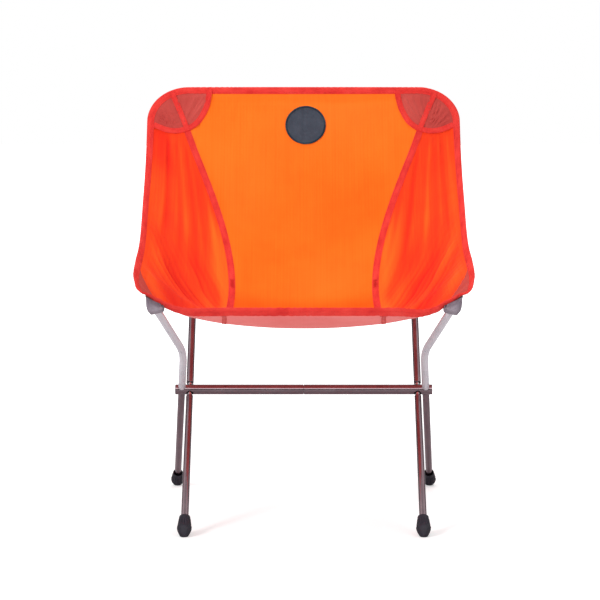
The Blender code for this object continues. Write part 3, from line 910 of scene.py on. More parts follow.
# ------------------------------------------------------------------ sling cloth
def painted_light_shade(down, share, x):
    """Painted light and shade on the cloth, from -1 (painted shade, the first colour) to 1
    (painted light, the second colour).
    """
    seam = seam_share(down)
    wing_part = (np.abs(share) - seam) / np.maximum(1 - seam, 0.05)
    fold = folds(down, x) / 0.0022
    upper = 1 - ease(0.16, 0.24, down)
    lower = ease(0.30, 0.38, down)
    strip = 1 - ease(0.10 - 0.04 * lower, 0.30 - 0.13 * lower, wing_part)
    # on the wings: painted light on the strip by the seam, painted shade across the middle and
    # high up, painted light at the outer edge, and painted shade in fold valleys with painted
    # light on the ridges
    wing = (0.80 * strip * ease(0.16, 0.27, down)
            - 0.55 * window(wing_part, (0.22, 0.42), (0.56, 0.82)) * ease(0.22, 0.33, down)
            + 0.20 * ease(0.66, 0.90, wing_part) - 0.22 * upper
            + (0.50 + 0.25 * (1 - upper)) * fold
            # painted shadow on the left wing below the top corner pocket and the back arm
            - 0.55 * ease(0.42, 0.62, wing_part)
            * window(down, (0.065, 0.085), (0.12, 0.17)) * (x < 0))
    # on the panel: painted shade over the seat below about a third of the way down, painted light
    # near the top edge, and painted shade and light from the folds
    panel = (-0.75 * ease(0.325, 0.375, down) + 0.40 * fold
             + 0.25 * (1 - ease(0.0, 0.20, down)))
    return np.clip(np.where(wing_part > 0, wing, panel), -1, 1)


def cloth_piece(name, low, high, cols, mat, cad, slot):
    """Cloth between two lines, each a function from distance down to share."""
    down = cloth_rows[:, None] * np.ones((1, cols + 1))
    f = np.linspace(0, 1, cols + 1)[None, :]
    start, end = low(cloth_rows)[:, None], high(cloth_rows)[:, None]
    share = start + (end - start) * f
    points, normals = on_sling(down, share)
    x = half_width(down) * share
    ob = shell(name, points, normals, 0.0, CLOTH_THICK / 2, [mat, UNDERSIDE],
               np.stack([x, down], -1))
    # painted light and shade, stored per point on both faces of the cloth for its material
    values = painted_light_shade(down, share, x).ravel() * 0.5 + 0.5
    attribute = ob.data.attributes.new("painted_light_shade", "FLOAT", "POINT")
    attribute.data.foreach_set("value", np.concatenate([values] * 2).astype(np.float32))
    place(ob, "seat", slot, cad)


def wing_edge(down):
    """Outer line of the wing cloth, with the rounded front corner."""
    corner = np.clip((np.asarray(down) - (SLING_LEN - FRONT_R)) / FRONT_R, 0, 1)
    cut = FRONT_CUT * (1 - np.sqrt(np.clip(1 - corner * corner, 0, 1)))
    return 1 - cut - WING_INSET


cloth_rows = row_to_down(np.linspace(float(down_to_row(CLOTH_INSET)), 1.0, 170))
cloth_rows = cloth_rows[cloth_rows <= SLING_LEN - CLOTH_INSET]
cloth_rows = np.append(cloth_rows, SLING_LEN - CLOTH_INSET)

cloth_piece("back_and_seat_fabric", lambda down: -seam_share(down), seam_share, 110, ORANGE,
            "back_and_seat_panel", "panel_fabric")
cloth_piece("wing_fabric_left", lambda down: -wing_edge(down), lambda down: -seam_share(down),
            60, RED, "wing_left", "wing_fabric")
cloth_piece("wing_fabric_right", seam_share, wing_edge, 60, RED, "wing_right", "wing_fabric")


# ------------------------------------------------------------------ edge outline
TOP_STEPS, SIDE_STEPS = 59, 199
CORNER_ROW = float(down_to_row(SLING_LEN - FRONT_R))


def outline(side):
    """Half outline as (down, x) with unit inward directions in the flat pattern.

    It runs from the top middle round the top corner, down the side, round the front
    corner and in to the front middle."""
    corner = SLING_LEN - FRONT_R
    places = [(0.0, share) for share in np.linspace(0, 1, TOP_STEPS + 1)[:-1]]
    places += [(float(row_to_down(row)), 1.0)
               for row in np.linspace(0, CORNER_ROW, SIDE_STEPS + 1)[:-1]]
    places += [(corner + FRONT_R * math.sin(a), 1 - FRONT_CUT * (1 - math.cos(a)))
               for a in np.linspace(0, math.pi / 2, 24)]
    places += [(SLING_LEN, share) for share in np.linspace(1 - FRONT_CUT, 0, 110)[1:]]
    down, share = np.array(places).T
    flat = np.stack([down, side * share * half_width(down)], 1)
    steps = unit(np.gradient(flat, axis=0))
    inwards = np.stack([-steps[:, 1], steps[:, 0]], 1)
    toward = np.array([SLING_LEN / 2, 0.0])[None] - flat
    inwards *= np.sign(np.sum(inwards * toward, axis=1, keepdims=True))
    relax(inwards, 2)
    return flat, inwards


def inset(edge, depth):
    """Surface points and front normals at a true distance in from the outline."""
    flat, inwards = edge
    trial = 0.008

    def at(step):
        moved = flat + inwards * np.broadcast_to(step, len(flat))[:, None]
        down = np.clip(moved[:, 0], 0, SLING_LEN)
        share = np.clip(moved[:, 1] / half_width(down), -1, 1)
        return surface(down, share), front_normal(np.clip(down, 0.0025, SLING_LEN - 0.0015),
                                                  np.clip(share, -0.985, 0.985))

    speed = np.linalg.norm(at(trial)[0] - at(0.0)[0], axis=1) / trial
    return at(np.maximum(depth, 0) / np.maximum(speed, 0.5))


edges = {side: outline(side) for side, _ in SIDES}


def part_edge(side, start, stop=None):
    return tuple(values[start:stop] for values in edges[side])


# ------------------------------------------------------------------ tapes and stitches
# (share of the width in from the edge, height over TAPE_RISE): a folded tape with a
# valley where it is stitched
BINDING = ((1.0, 0.35), (1.0, 0.95), (0.95, 1.30), (0.88, 1.35), (0.80, 1.02),
           (0.72, 1.38), (0.5, 1.60), (0.25, 1.65), (0.10, 1.35), (0.0, 0.80))
# (share of the half width, share of the thickness) across a flat tape
FLAT_TAPE = ((-1, 0), (-0.96, 1), (-0.80, 0.85), (-0.5, 1.1), (0, 1.15),
             (0.5, 1.1), (0.80, 0.85), (0.96, 1), (1, 0))
# (share of the length, share of the radius, lift in radii) along a stitch
STITCH = ((0.0, 0.15, -0.9), (0.18, 0.75, 0.2), (0.5, 1.0, 0.75), (0.82, 0.75, 0.2),
          (1.0, 0.15, -0.9))
STITCH_SEGS = 6
stitches = []                      # (start, end, sideways, normal, radius) waiting to be built


def binding(name, edge, cad, width=TAPE_WIDTH):
    """Tape folded over the raw edge."""
    rim, _ = inset(edge, 0.0)
    inwards = unit(inset(edge, 0.004)[0] - rim)
    arc = arc_length(rim)
    swell = (1 + 0.10 * np.sin(arc * 240 + np.sin(arc * 61) * 1.5))[:, None]
    front, back = [], []
    for depth, height in BINDING:
        points, normals = inset(edge, width * depth)
        relax(normals, 4)
        rise = normals * (height * TAPE_RISE) * swell
        front.append(points + rise)
        back.append(points - rise)
    rings = np.stack(front + [rim - inwards * 0.0006] + back[::-1], 1)
    steps = np.linalg.norm(np.diff(rings, axis=1), axis=2).mean(0)
    widths = np.concatenate([[0], np.cumsum(steps)])
    place(loft(name, rings, [TAPE], ring_uv(arc, widths), sharp=75), "seat", "edge_tape", cad)


def flat_band(name, points, sideways, normals, width, height, thick, mat=TAPE, cad=()):
    """Flat tape along a path."""
    profile = np.array(FLAT_TAPE) * (width / 2, thick)
    rings = (points[:, None] + sideways[:, None] * profile[None, :, :1]
             + normals[:, None] * (profile[None, :, 1:] + height))
    uv = ring_uv(arc_length(points), profile[:, 0] + width / 2)
    return place(loft(name, rings, [mat], uv, sharp=70), "seat", "edge_tape", *cad)


def stitch_line(points, sideways, normals, pitch=0.0042, size=0.0031, radius=0.00032):
    """Queues thread stitches along a path."""
    arc = arc_length(points)

    def at(distance, values):
        return np.array([np.interp(distance, arc, values[:, axis]) for axis in range(3)])

    for k in range(int(arc[-1] / pitch)):
        start = pitch * (k + 0.5) - size / 2
        middle = start + size / 2
        stitches.append((at(start, points), at(start + size, points),
                         unit(at(middle, sideways)), unit(at(middle, normals)), radius))


def build_stitches(name):
    """Builds the queued stitches as one object and empties the queue."""
    verts, faces = [], []
    for start, end, sideways, normal, radius in stitches:
        base = len(verts)
        for f, size, lift in STITCH:
            centre = start * (1 - f) + end * f
            for angle in turn(STITCH_SEGS):
                verts.append(centre + sideways * (math.cos(angle) * radius * size)
                             + normal * (math.sin(angle) * radius * size + lift * radius))
        for i in range(len(STITCH) - 1):
            for k in range(STITCH_SEGS):
                a = base + i * STITCH_SEGS + k
                b = base + i * STITCH_SEGS + (k + 1) % STITCH_SEGS
                faces.append((a, b, b + STITCH_SEGS, a + STITCH_SEGS))
        last = base + (len(STITCH) - 1) * STITCH_SEGS
        faces.append(tuple(base + k for k in reversed(range(STITCH_SEGS))))
        faces.append(tuple(last + k for k in range(STITCH_SEGS)))
    ob = add_object(name, verts, faces, [THREAD])
    fix_normals(ob)
    stitches.clear()
    place(ob, "seat", "edge_tape")


def edge_stitches(edge, depth, height):
    """Stitches on both faces of the edge tape."""
    points, normals = inset(edge, depth)
    sideways = across(points, normals)
    stitch_line(points + normals * height, sideways, normals)
    stitch_line(points - normals * height, sideways, -normals)


# outline indices: the top tape ends below the rounded corner, the front tape starts above
# the front corner, and the side tapes overlap both
top_end = TOP_STEPS + int((SIDE_STEPS + 1) * ROUND_ROW / CORNER_ROW) + 6
front_start = TOP_STEPS + SIDE_STEPS - 9

binding("top_tape", tuple(np.concatenate([left[::-1], right]) for left, right in
                          zip(part_edge(-1, 0, top_end), part_edge(1, 1, top_end))),
        "top_binding")
for side, word in SIDES:
    binding("side_tape_" + word, part_edge(side, top_end - 3, front_start + 2),
            "side_binding_" + word, width=SIDE_TAPE_WIDTH)
front_edge = tuple(np.concatenate([left, right[::-1][1:]]) for left, right in
                   zip(part_edge(-1, front_start), part_edge(1, front_start)))
binding("front_tape", front_edge, "front_binding",
        width=0.0128 - 0.0022 * ease(0.165, 0.205, np.abs(front_edge[0][:, 1])))
for side, _ in SIDES:
    edge_stitches(edges[side], TAPE_WIDTH * 0.80, 0.00100)
    edge_stitches(part_edge(side, front_start), TAPE_WIDTH * 0.40, 0.00150)
build_stitches("edge_stitching")


# ------------------------------------------------------------------ seam and corner tapes
# (down, x) of the curved line under each top corner, and of the short strap across it
POCKET_LINE = ((0.0, 0.1540), (0.0287, 0.1603), (0.0510, 0.1727), (0.0628, 0.1850),
               (0.0690, 0.1965), (0.0740, 0.2116), (0.0752, 0.2275), (0.0722, 0.2470))
STRAP_LINE = ((0.0095, 0.2175), (0.0200, 0.2140), (0.0366, 0.2057), (0.0628, 0.1936),
              (0.0700, 0.1905))
FELL_HEIGHT = 0.0010


def sling_band(name, down, x, width, height, thick, mat=TAPE, cad=(), back=False):
    """Flat tape along a (down, x) curve; front tapes get two rows of stitches."""
    points, normals = on_sling(down, x / half_width(down))
    relax(normals, 3)
    sideways = unit(np.cross(normals, path_tangents(points)))
    if back:
        normals = -normals
    ob = flat_band(name, points, sideways, normals, width, height, thick, mat, cad)
    if back:
        fix_normals(ob)
        return
    for part in (-0.32, 0.32):
        stitch_line(points + sideways * (width * part) + normals * (height + thick * 0.95),
                    sideways, normals)


def bar_tacks(side):
    """Blocks of seven crossing stitches on the seam."""
    for start in (0.312, 0.322, SLING_LEN - 0.020):
        for k in range(7):
            down = np.full(7, start + 0.0014 * k)
            x = side * (seam_x(down) + np.linspace(-0.0042, 0.0042, 7))
            down = down + np.linspace(-0.0006, 0.0006, 7) * (-1) ** k
            points, normals = on_sling(down, x / half_width(down))
            stitch_line(points + normals * 0.0012, across(points, normals), normals,
                        pitch=0.0083, size=0.0078, radius=0.00036)


def seam_tapes(side, word):
    down = np.linspace(0.066, SLING_LEN - 0.010, 150)
    sling_band("seam_tape_outer_" + word, down, side * seam_x(down), width=0.0108,
               height=0.0003, thick=0.0007, cad=("seam_tape_" + word,))
    # the felled seam stands up on the back between two rows of stitches
    fell_down = np.linspace(0.098, SLING_LEN - 0.016, 140)
    sling_band("felled_seam_" + word, fell_down, side * seam_x(fell_down), width=0.0066,
               height=0.0003, thick=0.0006, mat=FELL, back=True)
    points, normals = on_sling(down, side * seam_share(down))
    normals = -normals
    sideways = across(points, normals)
    for offset in (-0.0022, 0.0022):
        stitch_line(points + sideways * offset + normals * FELL_HEIGHT, sideways, normals)
    pocket = catmull(POCKET_LINE, 70)
    sling_band("pocket_tape_" + word, np.clip(pocket[:, 0], 0.002, None), side * pocket[:, 1],
               width=0.0094, height=0.0010, thick=0.0007)
    strap = catmull(STRAP_LINE, 40)
    sling_band("corner_strap_" + word, strap[:, 0], side * strap[:, 1],
               width=0.0088, height=0.0016, thick=0.0008)
    bar_tacks(side)


for side, word in SIDES:
    seam_tapes(side, word)
build_stitches("seam_stitching")


# ------------------------------------------------------------------ corner cloth
def corner_cloth(name, points, normals, height, half_thick, mats, uv, cad=(), flip=False):
    ob = shell(name, points, normals, height, half_thick, mats, uv, flip)
    fix_normals(ob)
    place(ob, "seat", "corner_fabric", *cad)


def distance_to(line, places):
    return np.linalg.norm(places[:, :, None] - line[None, None], axis=-1).min(-1)


def top_patch(side, word):
    """Darker cloth between the pocket tape and the rounded top corner."""
    count = 64
    inner = catmull(POCKET_LINE, count)
    top_x = np.linspace(POCKET_LINE[0][1], float(half_width(0.0)), 22)[:-1]
    rows = np.linspace(0, float(down_to_row(POCKET_LINE[-1][0])), count - len(top_x))
    outer = [(0.0, x) for x in top_x]
    outer += [(float(row_to_down(row)), float(half_width(row_to_down(row)))) for row in rows]
    outer = np.array(outer)
    f = np.linspace(0.0, 0.97, 34)[:, None, None]
    places = inner[None] * (1 - f) + outer[None] * f
    down = np.clip(places[..., 0], 0.0008, SLING_LEN)
    x = np.minimum(places[..., 1], half_width(down) * 0.995)
    points, normals = on_sling(down, side * x / half_width(down))
    rim = distance_to(outer, places)
    hem = distance_to(inner, places)
    # fine gathers that fan out in the corner, clear of the tapes
    angle = np.arctan2(down - 0.078, 0.205 - x)
    ray = 0.5 + 0.5 * np.sin(angle * 31 + 1.6 * np.sin(angle * 7 + side) + 14 * down)
    fine_ray = 0.5 + 0.5 * np.sin(angle * 63 + 1.0 + 2.2 * np.sin(angle * 11))
    room = ease(0.0125, 0.0190, rim) * ease(0.0060, 0.0110, hem)
    gathers = 0.0016 * room * (ray ** 3.0 + 0.6 * fine_ray ** 4)
    lift = 0.00044 * ease(0.0095, 0.0115, rim) * ease(0.0010, 0.0030, hem)
    corner_cloth("corner_patch_top_" + word, points, normals, 0.00012 + lift + gathers, 0.0002,
                 [PATCH, PATCH_UNDER], np.stack([x + down * 0.3, down - x * 0.3], -1),
                 flip=side < 0)


def back_pouch(side, word):
    """Pouch behind a top corner, open below, that takes the back arm cap."""
    rows, cols = 44, 49
    row_at = np.linspace(float(down_to_row(0.004)), float(down_to_row(0.086)), rows)
    down = row_to_down(row_at)[:, None] * np.ones((1, cols))
    part = np.linspace(0, 1, cols)[None, :] * np.ones((rows, 1))
    share = 0.62 + (0.955 - 0.62) * part
    bulge = np.sin(np.pi * part) ** 0.55
    crease = (0.0006 * np.sin(part * 34 + down * 40 + 1.2 * np.sin(part * 9)) * bulge
              * ease(0.026, 0.052, down))
    depth = 0.0010 + 0.0225 * bulge * ease(0.002, 0.014, down) + crease
    points, normals = on_sling(down, side * share)
    # the pouch stands off the cloth, so small folds must not tilt it
    for _ in range(14):
        normals[1:-1] = (normals[:-2] + 2 * normals[1:-1] + normals[2:]) / 4
        normals[:, 1:-1] = (normals[:, :-2] + 2 * normals[:, 1:-1] + normals[:, 2:]) / 4
    normals = unit(normals)
    corner_cloth("back_pouch_" + word, points, normals, -depth, 0.0003, [PATCH_UNDER, PATCH],
                 np.stack([half_width(down) * share, down], -1),
                 cad=("back_corner_pocket_" + word,), flip=side < 0)
    hem = (points - normals * depth[..., None])[-1]
    outward = -normals[-1]
    flat_band("pouch_hem_" + word, hem, across(hem, outward), outward,
              width=0.009, height=0.0004, thick=0.0007)


# (down, x) of the inner line of the front corner crescents
CRESCENT_LINE = ((0.512, 0.2480), (0.548, 0.2330), (0.572, 0.2080), (0.596, 0.1850),
                 (0.622, 0.1620), (0.645, 0.1440))


def front_crescents(side, word):
    """Crescents of cloth on both faces of a front corner."""
    count = 70
    inner = catmull(CRESCENT_LINE, count)
    flat, inwards = edges[side]
    near = (flat[:, 0] > 0.508) & (np.abs(flat[:, 1]) > 0.136)
    run = arc_length(flat[near])
    want = np.linspace(0, run[-1], count)
    rim = flat[near] + inwards[near] * 0.0060
    outer = np.stack([np.interp(want, run, rim[:, 0]),
                      np.abs(np.interp(want, run, rim[:, 1]))], 1)
    f = np.linspace(0.46 if side < 0 else 0.30, 1.0, 26)[:, None, None]
    depth = ((f - f.min()) / (f.max() - f.min()))[..., 0]
    part = np.linspace(0, 1, count)[None, :]
    wrinkle = (0.0009 * np.clip(np.sin(part * 62 + 3 * np.sin(part * 9)), 0, 1) ** 1.5
               * np.sin(np.pi * np.clip(depth * 1.3, 0, 1)))
    # the lower piece is narrower, so that only a small tab shows below
    for tag, reach, least_down, height, mats, cad in (
            ("upper", f, 0, 0.0006 + wrinkle, [PATCH, PATCH_UNDER],
             ("front_corner_patch_" + word,)),
            ("lower", 0.42 + 0.58 * f, 0.545, -0.0006 - 0.3 * wrinkle,
             [PATCH_UNDER, PATCH_UNDER], ())):
        places = inner[None] * (1 - reach) + outer[None] * reach
        down = np.clip(places[..., 0], least_down, SLING_LEN - 0.001)
        x = np.minimum(places[..., 1], half_width(down) * 0.992)
        points, normals = on_sling(down, side * x / half_width(down))
        corner_cloth("front_corner_%s_%s" % (tag, word), points, normals, height, 0.00025,
                     mats, np.stack([x, down], -1), cad)


for build in (top_patch, back_pouch, front_crescents):
    for side, word in SIDES:
        build(side, word)


# ------------------------------------------------------------------ webbing sleeves
def chair_point(side, x, y, z):
    """Point from its x on one side, y from the bar, and z."""
    return Vector((side * x, BAR_Y + y, z))


def arm_path(side, hub_x, arm, radius):
    places = ((hub_x, 0, BAR_Z), *arm)
    return fillet([chair_point(side, *spot) for spot in places], radius)


seat_paths = {side: arm_path(side, OUTER_X, SEAT_ARM, SEAT_BEND_R) for side, _ in SIDES}
back_paths = {side: arm_path(side, INNER_X, BACK_ARM, BACK_BEND_R) for side, _ in SIDES}

# (share of height, half width, half depth): roomy round the arm end, flat under the tape
SLEEVE = ((0.0, 0.0108, 0.0100), (0.05, 0.0110, 0.0102), (0.42, 0.0117, 0.0108),
          (0.66, 0.0124, 0.0098), (0.84, 0.0129, 0.0066), (1.0, 0.0131, 0.0036))
SLEEVE_TIP = 0.42                  # share of the height at which the arm ends
SLEEVE_WALL = 0.0010


def webbing_sleeve(side, word):
    """Sleeve that hangs from the front edge over the end of a seat arm."""
    path = seat_paths[side]
    tip = np.array(path[-1])
    direction = unit(np.array(path[-1] - path[-2]))
    inner_end = surface(np.array([SLING_LEN - 0.004]), np.array([side * 0.865]))[0]
    outer_end = surface(np.array([SLING_LEN - 0.012]), np.array([side * 0.955]))[0]
    top = (inner_end + outer_end) / 2 + np.array([0.0, 0.0030, -0.0030])
    top_side = unit(outer_end - inner_end)
    bottom = tip - direction * (0.0100 if side < 0 else 0.0122)
    bottom_side = unit(np.array([side * 1.0, 0.0, -0.24]))
    backward = np.array([0.0, 0.93, 0.36])
    angles = turn(56)
    cos, sin = np.cos(angles), np.sin(angles)
    outer, inner = [], []
    for height, half_wide, half_deep in catmull(SLEEVE, 30):
        centre = (bottom + (tip - bottom) * min(height / SLEEVE_TIP, 1.0)
                  + (top - tip) * max((height - SLEEVE_TIP) / (1 - SLEEVE_TIP), 0.0))
        blend = float(ease(0.30, 0.90, height))
        sideways = unit(bottom_side * (1 - blend) + top_side * blend)
        deep = unit(backward - sideways * (backward @ sideways))
        power = 2 / (4.2 - 1.4 * height)    # boxy below, rounder above
        wave = 1 + 0.02 * np.sin(angles * 5 + height * 4)
        across_part = np.sign(cos) * np.abs(cos) ** power * wave
        deep_part = np.sign(sin) * np.abs(sin) ** power * wave
        for rings, wall in ((outer, 0.0), (inner, SLEEVE_WALL)):
            rings.append(centre + sideways * (across_part * (half_wide - wall))[:, None]
                         + deep * (deep_part * (half_deep - wall))[:, None])
    rings = np.array(outer + inner[::-1])
    uv = ring_uv(np.linspace(0, 0.06, len(rings)), angles * 0.010)
    ob = loft("webbing_sleeve_" + word, rings, [WEBBING], uv, sharp=60, closed=True)
    place(ob, "seat", "webbing", "webbing_cup_" + word)


for side, word in SIDES:
    webbing_sleeve(side, word)

# ------------------------------------------------------------------ badge
BADGE_R = 0.0318
BADGE_DOWN, BADGE_X = 0.0515, 0.0035
BADGE_RIM_R = 0.0011


def badge():
    """A plain round sewn patch with a thread-wrapped rim."""
    cloth = badge_cloth("badge")
    rim_tape = tape("badge_rim", ((40, 58, 70), (26, 40, 52), (70, 88, 98)), rib=0.0009)
    span = (surface(np.array([BADGE_DOWN + 0.02]), np.array([0.0]))
            - surface(np.array([BADGE_DOWN - 0.02]), np.array([0.0])))
    stretch = float(np.linalg.norm(span)) / 0.04    # true length per pattern length

    def disc(radius, angles):
        down = BADGE_DOWN + radius * np.sin(angles) / stretch
        x = radius * np.cos(angles) + BADGE_X
        return down, x, *on_sling(down, x / half_width(down))

    radii = np.linspace(0.0008, BADGE_R, 22)[:, None]
    down, x, points, normals = disc(radii, turn(72)[None])
    height = 0.0011 + 0.0001 * np.sin(radii * 900)
    rings = np.concatenate([points + normals * height[..., None],
                            (points + normals * 0.00030)[::-1]])
    uv = np.stack([x - BADGE_X, (down - BADGE_DOWN) * stretch], -1)
    ob = loft("back_badge", rings, [cloth], np.concatenate([uv, uv[::-1]]), sharp=50)
    place(ob, "seat", "badge", "badge_patch")

    around = np.linspace(0, 2 * math.pi, 145)
    _, _, points, normals = disc(BADGE_R, around)
    points = points + normals * 0.0014
    sideways = across(points, normals)
    section = turn(10)
    radius = BADGE_RIM_R * (1 + 0.08 * np.sin(around * 190))[:, None, None]
    rings = points[:, None] + radius * (
        1.35 * np.cos(section)[None, :, None] * sideways[:, None]
        + 0.75 * np.sin(section)[None, :, None] * normals[:, None])
    uv = ring_uv(around[:-1] * BADGE_R, section * 0.001)
    place(loft("badge_rim", rings[:-1], [rim_tape], uv, closed=True), "seat", "badge")


badge()

# ------------------------------------------------------------------ frame tubes
TUBE_MATS = [BRONZE, BORE_SHADE]
# (radius, distance along the cap) of the rubber foot, from its inner lip to its tip
FOOT_PROFILE = (
    (0.0061, 0.0034), (0.0069, 0.0022), (0.0071, 0.0004), (0.0075, -0.0003), (0.0081, 0.0003),
    (0.0084, 0.0022), (0.0087, 0.0060), (0.0093, 0.0110), (0.0100, 0.0155), (0.0106, 0.0190),
    (0.0108, 0.0208), (0.0104, 0.0228), (0.0093, 0.0256), (0.0076, 0.0294), (0.0056, 0.0328),
    (0.0036, 0.0349), (0.0016, 0.0357))


def leg_line(side, hub_x, foot):
    """Hub on the bar, unit direction down the leg, and distance to the floor."""
    hub = chair_point(side, hub_x, 0, BAR_Z)
    reach = chair_point(side, *foot, 0) - hub
    return hub, reach.normalized(), reach.length


def leg_and_pin(tag, word, line, start, pin_reach):
    hub, down, reach = line
    leg = tag + "_leg_" + word
    place(tube(tag + "_leg_tube_" + word, [hub + down * start, hub + down * (reach - LEG_SHORT)],
               LEG_R, LEG_BORE, TUBE_MATS), leg, "bronze_tube", leg)
    place(tube(tag + "_pin_" + word, [hub + down * pin_reach, hub - down * pin_reach],
               PIN_R, PIN_BORE, [ALLOY, BORE_SHADE], segs=28),
          "frame", "bare_alloy", tag + "_spigot_" + word)


def back_arm(side, word):
    path = back_paths[side]
    total = path_length(path)
    split = total - BACK_UPPER_LEN
    for part, body, start, end in (
            ("lower", "frame", CLEAR, split - JOINT_GAP),
            ("upper", "back_arm_" + word, split + JOINT_GAP, total - ARM_SHORT)):
        place(tube("back_arm_%s_tube_%s" % (part, word), along(path, start, end),
                   ARM_R, ARM_BORE, TUBE_MATS, lip=0.0003),
              body, "bronze_tube", "back_arm_%s_%s" % (part, word))


def seat_arm(side, word):
    path = seat_paths[side]
    stretch = along(path, SEAT_IN, path_length(path) - ARM_SHORT)
    place(tube("seat_arm_tube_" + word, stretch, ARM_R, ARM_BORE, [SILVER, BORE_SHADE]),
          "frame", "silver_tube", "seat_arm_" + word)


def crossbar_half(side, word, sockets):
    """Half of the crossbar, cut through by its (leg line, hole radius) sockets."""
    bar = tube("bar_tmp", [(side * BAR_GAP, BAR_Y, BAR_Z), (side * BAR_HALF, BAR_Y, BAR_Z)],
               BAR_R, BAR_BORE, TUBE_MATS, segs=72)
    cutters = []
    for (hub, down, _), hole in sockets:
        # the cutters give the walls of the socket holes their near-black painted shade
        cutter = tube("cut_tmp", [hub - down * 0.02, hub + down * 0.02], hole, 0.0005, [BORE_SHADE],
                      segs=56)
        cutters.append(cutter)
        mod = bar.modifiers.new("socket", "BOOLEAN")
        mod.operation = "DIFFERENCE"
        mod.solver = "EXACT"
        mod.object = cutter
    bpy.context.view_layer.update()
    depsgraph = bpy.context.evaluated_depsgraph_get()
    mesh = bpy.data.meshes.new_from_object(bar.evaluated_get(depsgraph))
    mesh.name = "crossbar_tube_" + word
    for ob in cutters + [bar]:
        bpy.data.objects.remove(ob, do_unlink=True)
    ob = link_object("crossbar_tube_" + word, mesh)
    mark_sharp(mesh, 28)
    place(ob, "frame", "bronze_tube", "crossbar_" + word)


def foot_cap(tag, word, line):
    """Ribbed rubber foot, flattened where it meets the floor."""
    hub, down, reach = line
    start = np.array(hub + down * (reach - FOOT_LEN + 0.004))
    axis = np.array(down)
    first = unit(np.array([1.0, 0, 0]) - axis * axis[0])
    second = np.cross(axis, first)
    angles = turn(144)
    rings = [circle(start + axis * 0.018, 0.0057, first, second, angles)]
    for k, (radius, distance) in enumerate(catmull(FOOT_PROFILE, 96)):
        if k > 24:                 # outer wall: sixteen ribs, then a ring of twelve blocks
            ribs = 0.0005 * window(distance, (0.0032, 0.006), (0.0145, 0.0165))
            radius = radius + np.clip(np.sin(angles * 16) * 2.2, -1, 1) * ribs
            if abs(distance - 0.0180) < 0.0013:
                radius = radius + 0.0005 * (np.sin(angles * 12) > 0.15)
        rings.append(circle(start + axis * distance, radius, first, second, angles))
    rings = np.array(rings)
    rings[..., 2] = np.maximum(rings[..., 2], 0.0)
    ob = loft(tag + "_foot_cap_" + word, rings, [RUBBER], np.zeros(rings.shape[:2] + (2,)),
              sharp=45)
    place(ob, tag + "_leg_" + word, "foot_rubber", tag + "_foot_" + word)


for side, word in SIDES:
    front_line = leg_line(side, INNER_X, FRONT_FOOT)
    rear_line = leg_line(side, OUTER_X, REAR_FOOT)
    leg_and_pin("front", word, front_line, start=CLEAR, pin_reach=CLEAR + SPIGOT_IN)
    back_arm(side, word)
    leg_and_pin("rear", word, rear_line, start=SEAT_IN, pin_reach=BAR_R + SPIGOT_IN)
    seat_arm(side, word)
    crossbar_half(side, word, ((front_line, INNER_HOLE), (rear_line, OUTER_HOLE)))
    foot_cap("front", word, front_line)
    foot_cap("rear", word, rear_line)

# CAD pieces that keep their shape get their own finish
for name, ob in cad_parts.items():
    if ob.hide_render:
        continue
    mat = ALLOY if "ferrule" in name else CORD if "cord" in name else PLASTIC
    ob.data.materials.clear()
    ob.data.materials.append(mat)
    if "UVMap" not in ob.data.uv_layers:
        layer = ob.data.uv_layers.new(name="UVMap")
        for loop in ob.data.loops:
            spot = ob.data.vertices[loop.vertex_index].co
            layer.data[loop.index].uv = (spot.x + spot.z, spot.y)


# ------------------------------------------------------------------ stage
def grey(value):
    return (value, value, value, 1)


def build_floor(half=30, z=-0.0006):
    """White floor that brightens to plain white away from the chair."""
    mesh = bpy.data.meshes.new("floor")
    mesh.from_pydata([(-half, -half, z), (half, -half, z), (half, half, z), (-half, half, z)],
                     [], [(0, 1, 2, 3)])
    mat = Material("floor", rough=0.9)
    ray = mat.node("ShaderNodeLightPath").outputs
    distance = mat.node("ShaderNodeVectorMath", operation="LENGTH")
    mat.feed(distance.inputs[0], mat.coords())
    lift = mat.remap(distance.outputs["Value"], (0.35, 1.3), (0.42, 1.1))
    mat.shade({
        "Specular IOR Level": 0.0,
        # reflections see a darker floor: painted shade for the chair's shadow on the floor, seen
        # in the tubes
        "Base Color": mat.mix(ray["Is Glossy Ray"], grey(0.80), (0.50, 0.50, 0.52, 1)),
        "Emission Color": grey(1),
        "Emission Strength": mat.math("MULTIPLY", ray["Is Camera Ray"], lift),
    })
    mesh.materials.append(mat.data)
    link_object("floor", mesh)


# (position from straight down to straight up, brightness) on the camera side
HEIGHT_BANDS = ((0.0, 0.75), (0.28, 0.85), (0.44, 0.95), (0.470, 0.05), (0.640, 0.05),
                (0.665, 2.4), (0.84, 1.8), (0.90, 0.35))
# (position from -Y to +Y, brightness) elsewhere, in the order the stops are set
DEPTH_BANDS = ((0.0, 0.80), (1.0, 0.06), (0.56, 0.85), (0.68, 0.06))
AMBIENT = 0.56


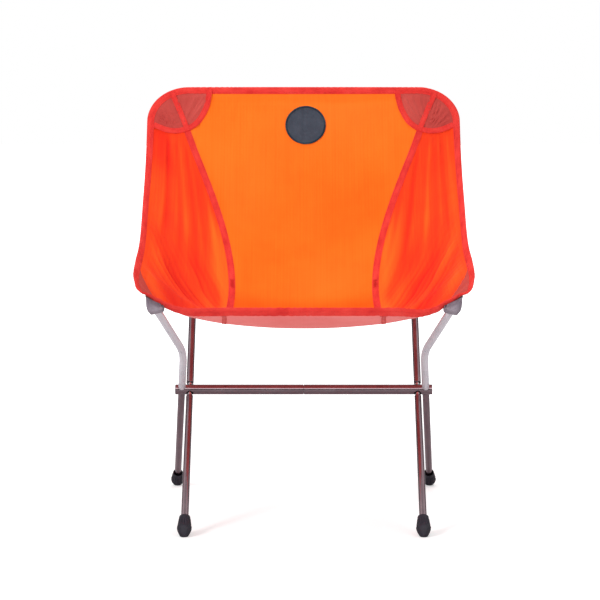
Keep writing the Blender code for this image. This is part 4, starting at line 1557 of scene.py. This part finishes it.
def build_world():
    """Even light, white to the camera, with bands that only reflections see."""
    world = bpy.data.worlds.new("studio")
    bpy.context.scene.world = world
    world.use_nodes = True
    nodes = Nodes(world.node_tree)
    _, y, z = nodes.split(nodes.coords("Generated"))
    by_height = nodes.ramp(nodes.remap(z, (-1.0, 1.0), (0.0, 1.0)),
                           [(position, grey(value)) for position, value in HEIGHT_BANDS])
    camera_side = nodes.remap(y, (-0.55, -0.20), (1.0, 0.0))
    by_depth = nodes.node("ShaderNodeValToRGB")
    # adding a stop re-sorts the ramp under the handles already taken, so the order in
    # which they are taken and set is part of the result
    stops = by_depth.color_ramp.elements
    handles = [stops[0], stops[1], stops.new(0.5), stops.new(0.6)]
    for handle, (position, value) in zip(handles, DEPTH_BANDS):
        handle.position = position
        handle.color = (value, value, value * 1.02, 1)
    nodes.feed(by_depth.inputs[0], nodes.remap(y, (-1.0, 1.0), (0.0, 1.0)))
    reflected = nodes.mix(camera_side, by_depth.outputs[0], by_height)
    ray = nodes.node("ShaderNodeLightPath").outputs
    plain = nodes.mix(ray["Is Camera Ray"], grey(AMBIENT), grey(1.0))
    background = world.node_tree.nodes["Background"].inputs
    nodes.feed(background["Color"], nodes.mix(ray["Is Glossy Ray"], plain, reflected))
    nodes.feed(background["Strength"], 1.0)
    world.cycles.sampling_method = "NONE"


def area_light(name, location, aim_z, size, power):
    """Square light aimed at a height over the origin, unseen in reflections."""
    light = bpy.data.lights.new(name, "AREA")
    light.shape = "SQUARE"
    light.size = size
    light.energy = power
    ob = bpy.data.objects.new(name, light)
    ob.location = location
    aim = Vector((0, 0, aim_z)) - Vector(location)
    ob.rotation_euler = aim.to_track_quat("-Z", "Y").to_euler()
    ob.visible_glossy = False
    bpy.context.scene.collection.objects.link(ob)


def build_camera(distance=2.667, pitch=6.19):
    """Camera in front of the crossbar, pitched down by some degrees."""
    data = bpy.data.cameras.new("camera")
    data.sensor_width = 36.0
    data.lens = 103.89
    ob = link_object("camera", data)
    ob.location = (-0.0058, BAR_Y - distance, 0.6187)
    ob.rotation_euler = (math.radians(90 - pitch), 0, 0)
    bpy.context.scene.camera = ob


build_floor()
build_world()
area_light("key", (-2.6, -1.9, 2.3), aim_z=0.4, size=0.9, power=62)
area_light("fill", (2.4, -2.6, 1.0), aim_z=0.4, size=1.6, power=16)
area_light("top", (0.3, 0.6, 2.6), aim_z=0.4, size=1.2, power=22)
area_light("low", (0.0, -2.4, 0.15), aim_z=0.3, size=1.2, power=9)
build_camera()
view = bpy.context.scene.view_settings
view.view_transform = "Standard"
view.look = "None"
view.exposure = 0.0
view.gamma = 1.0
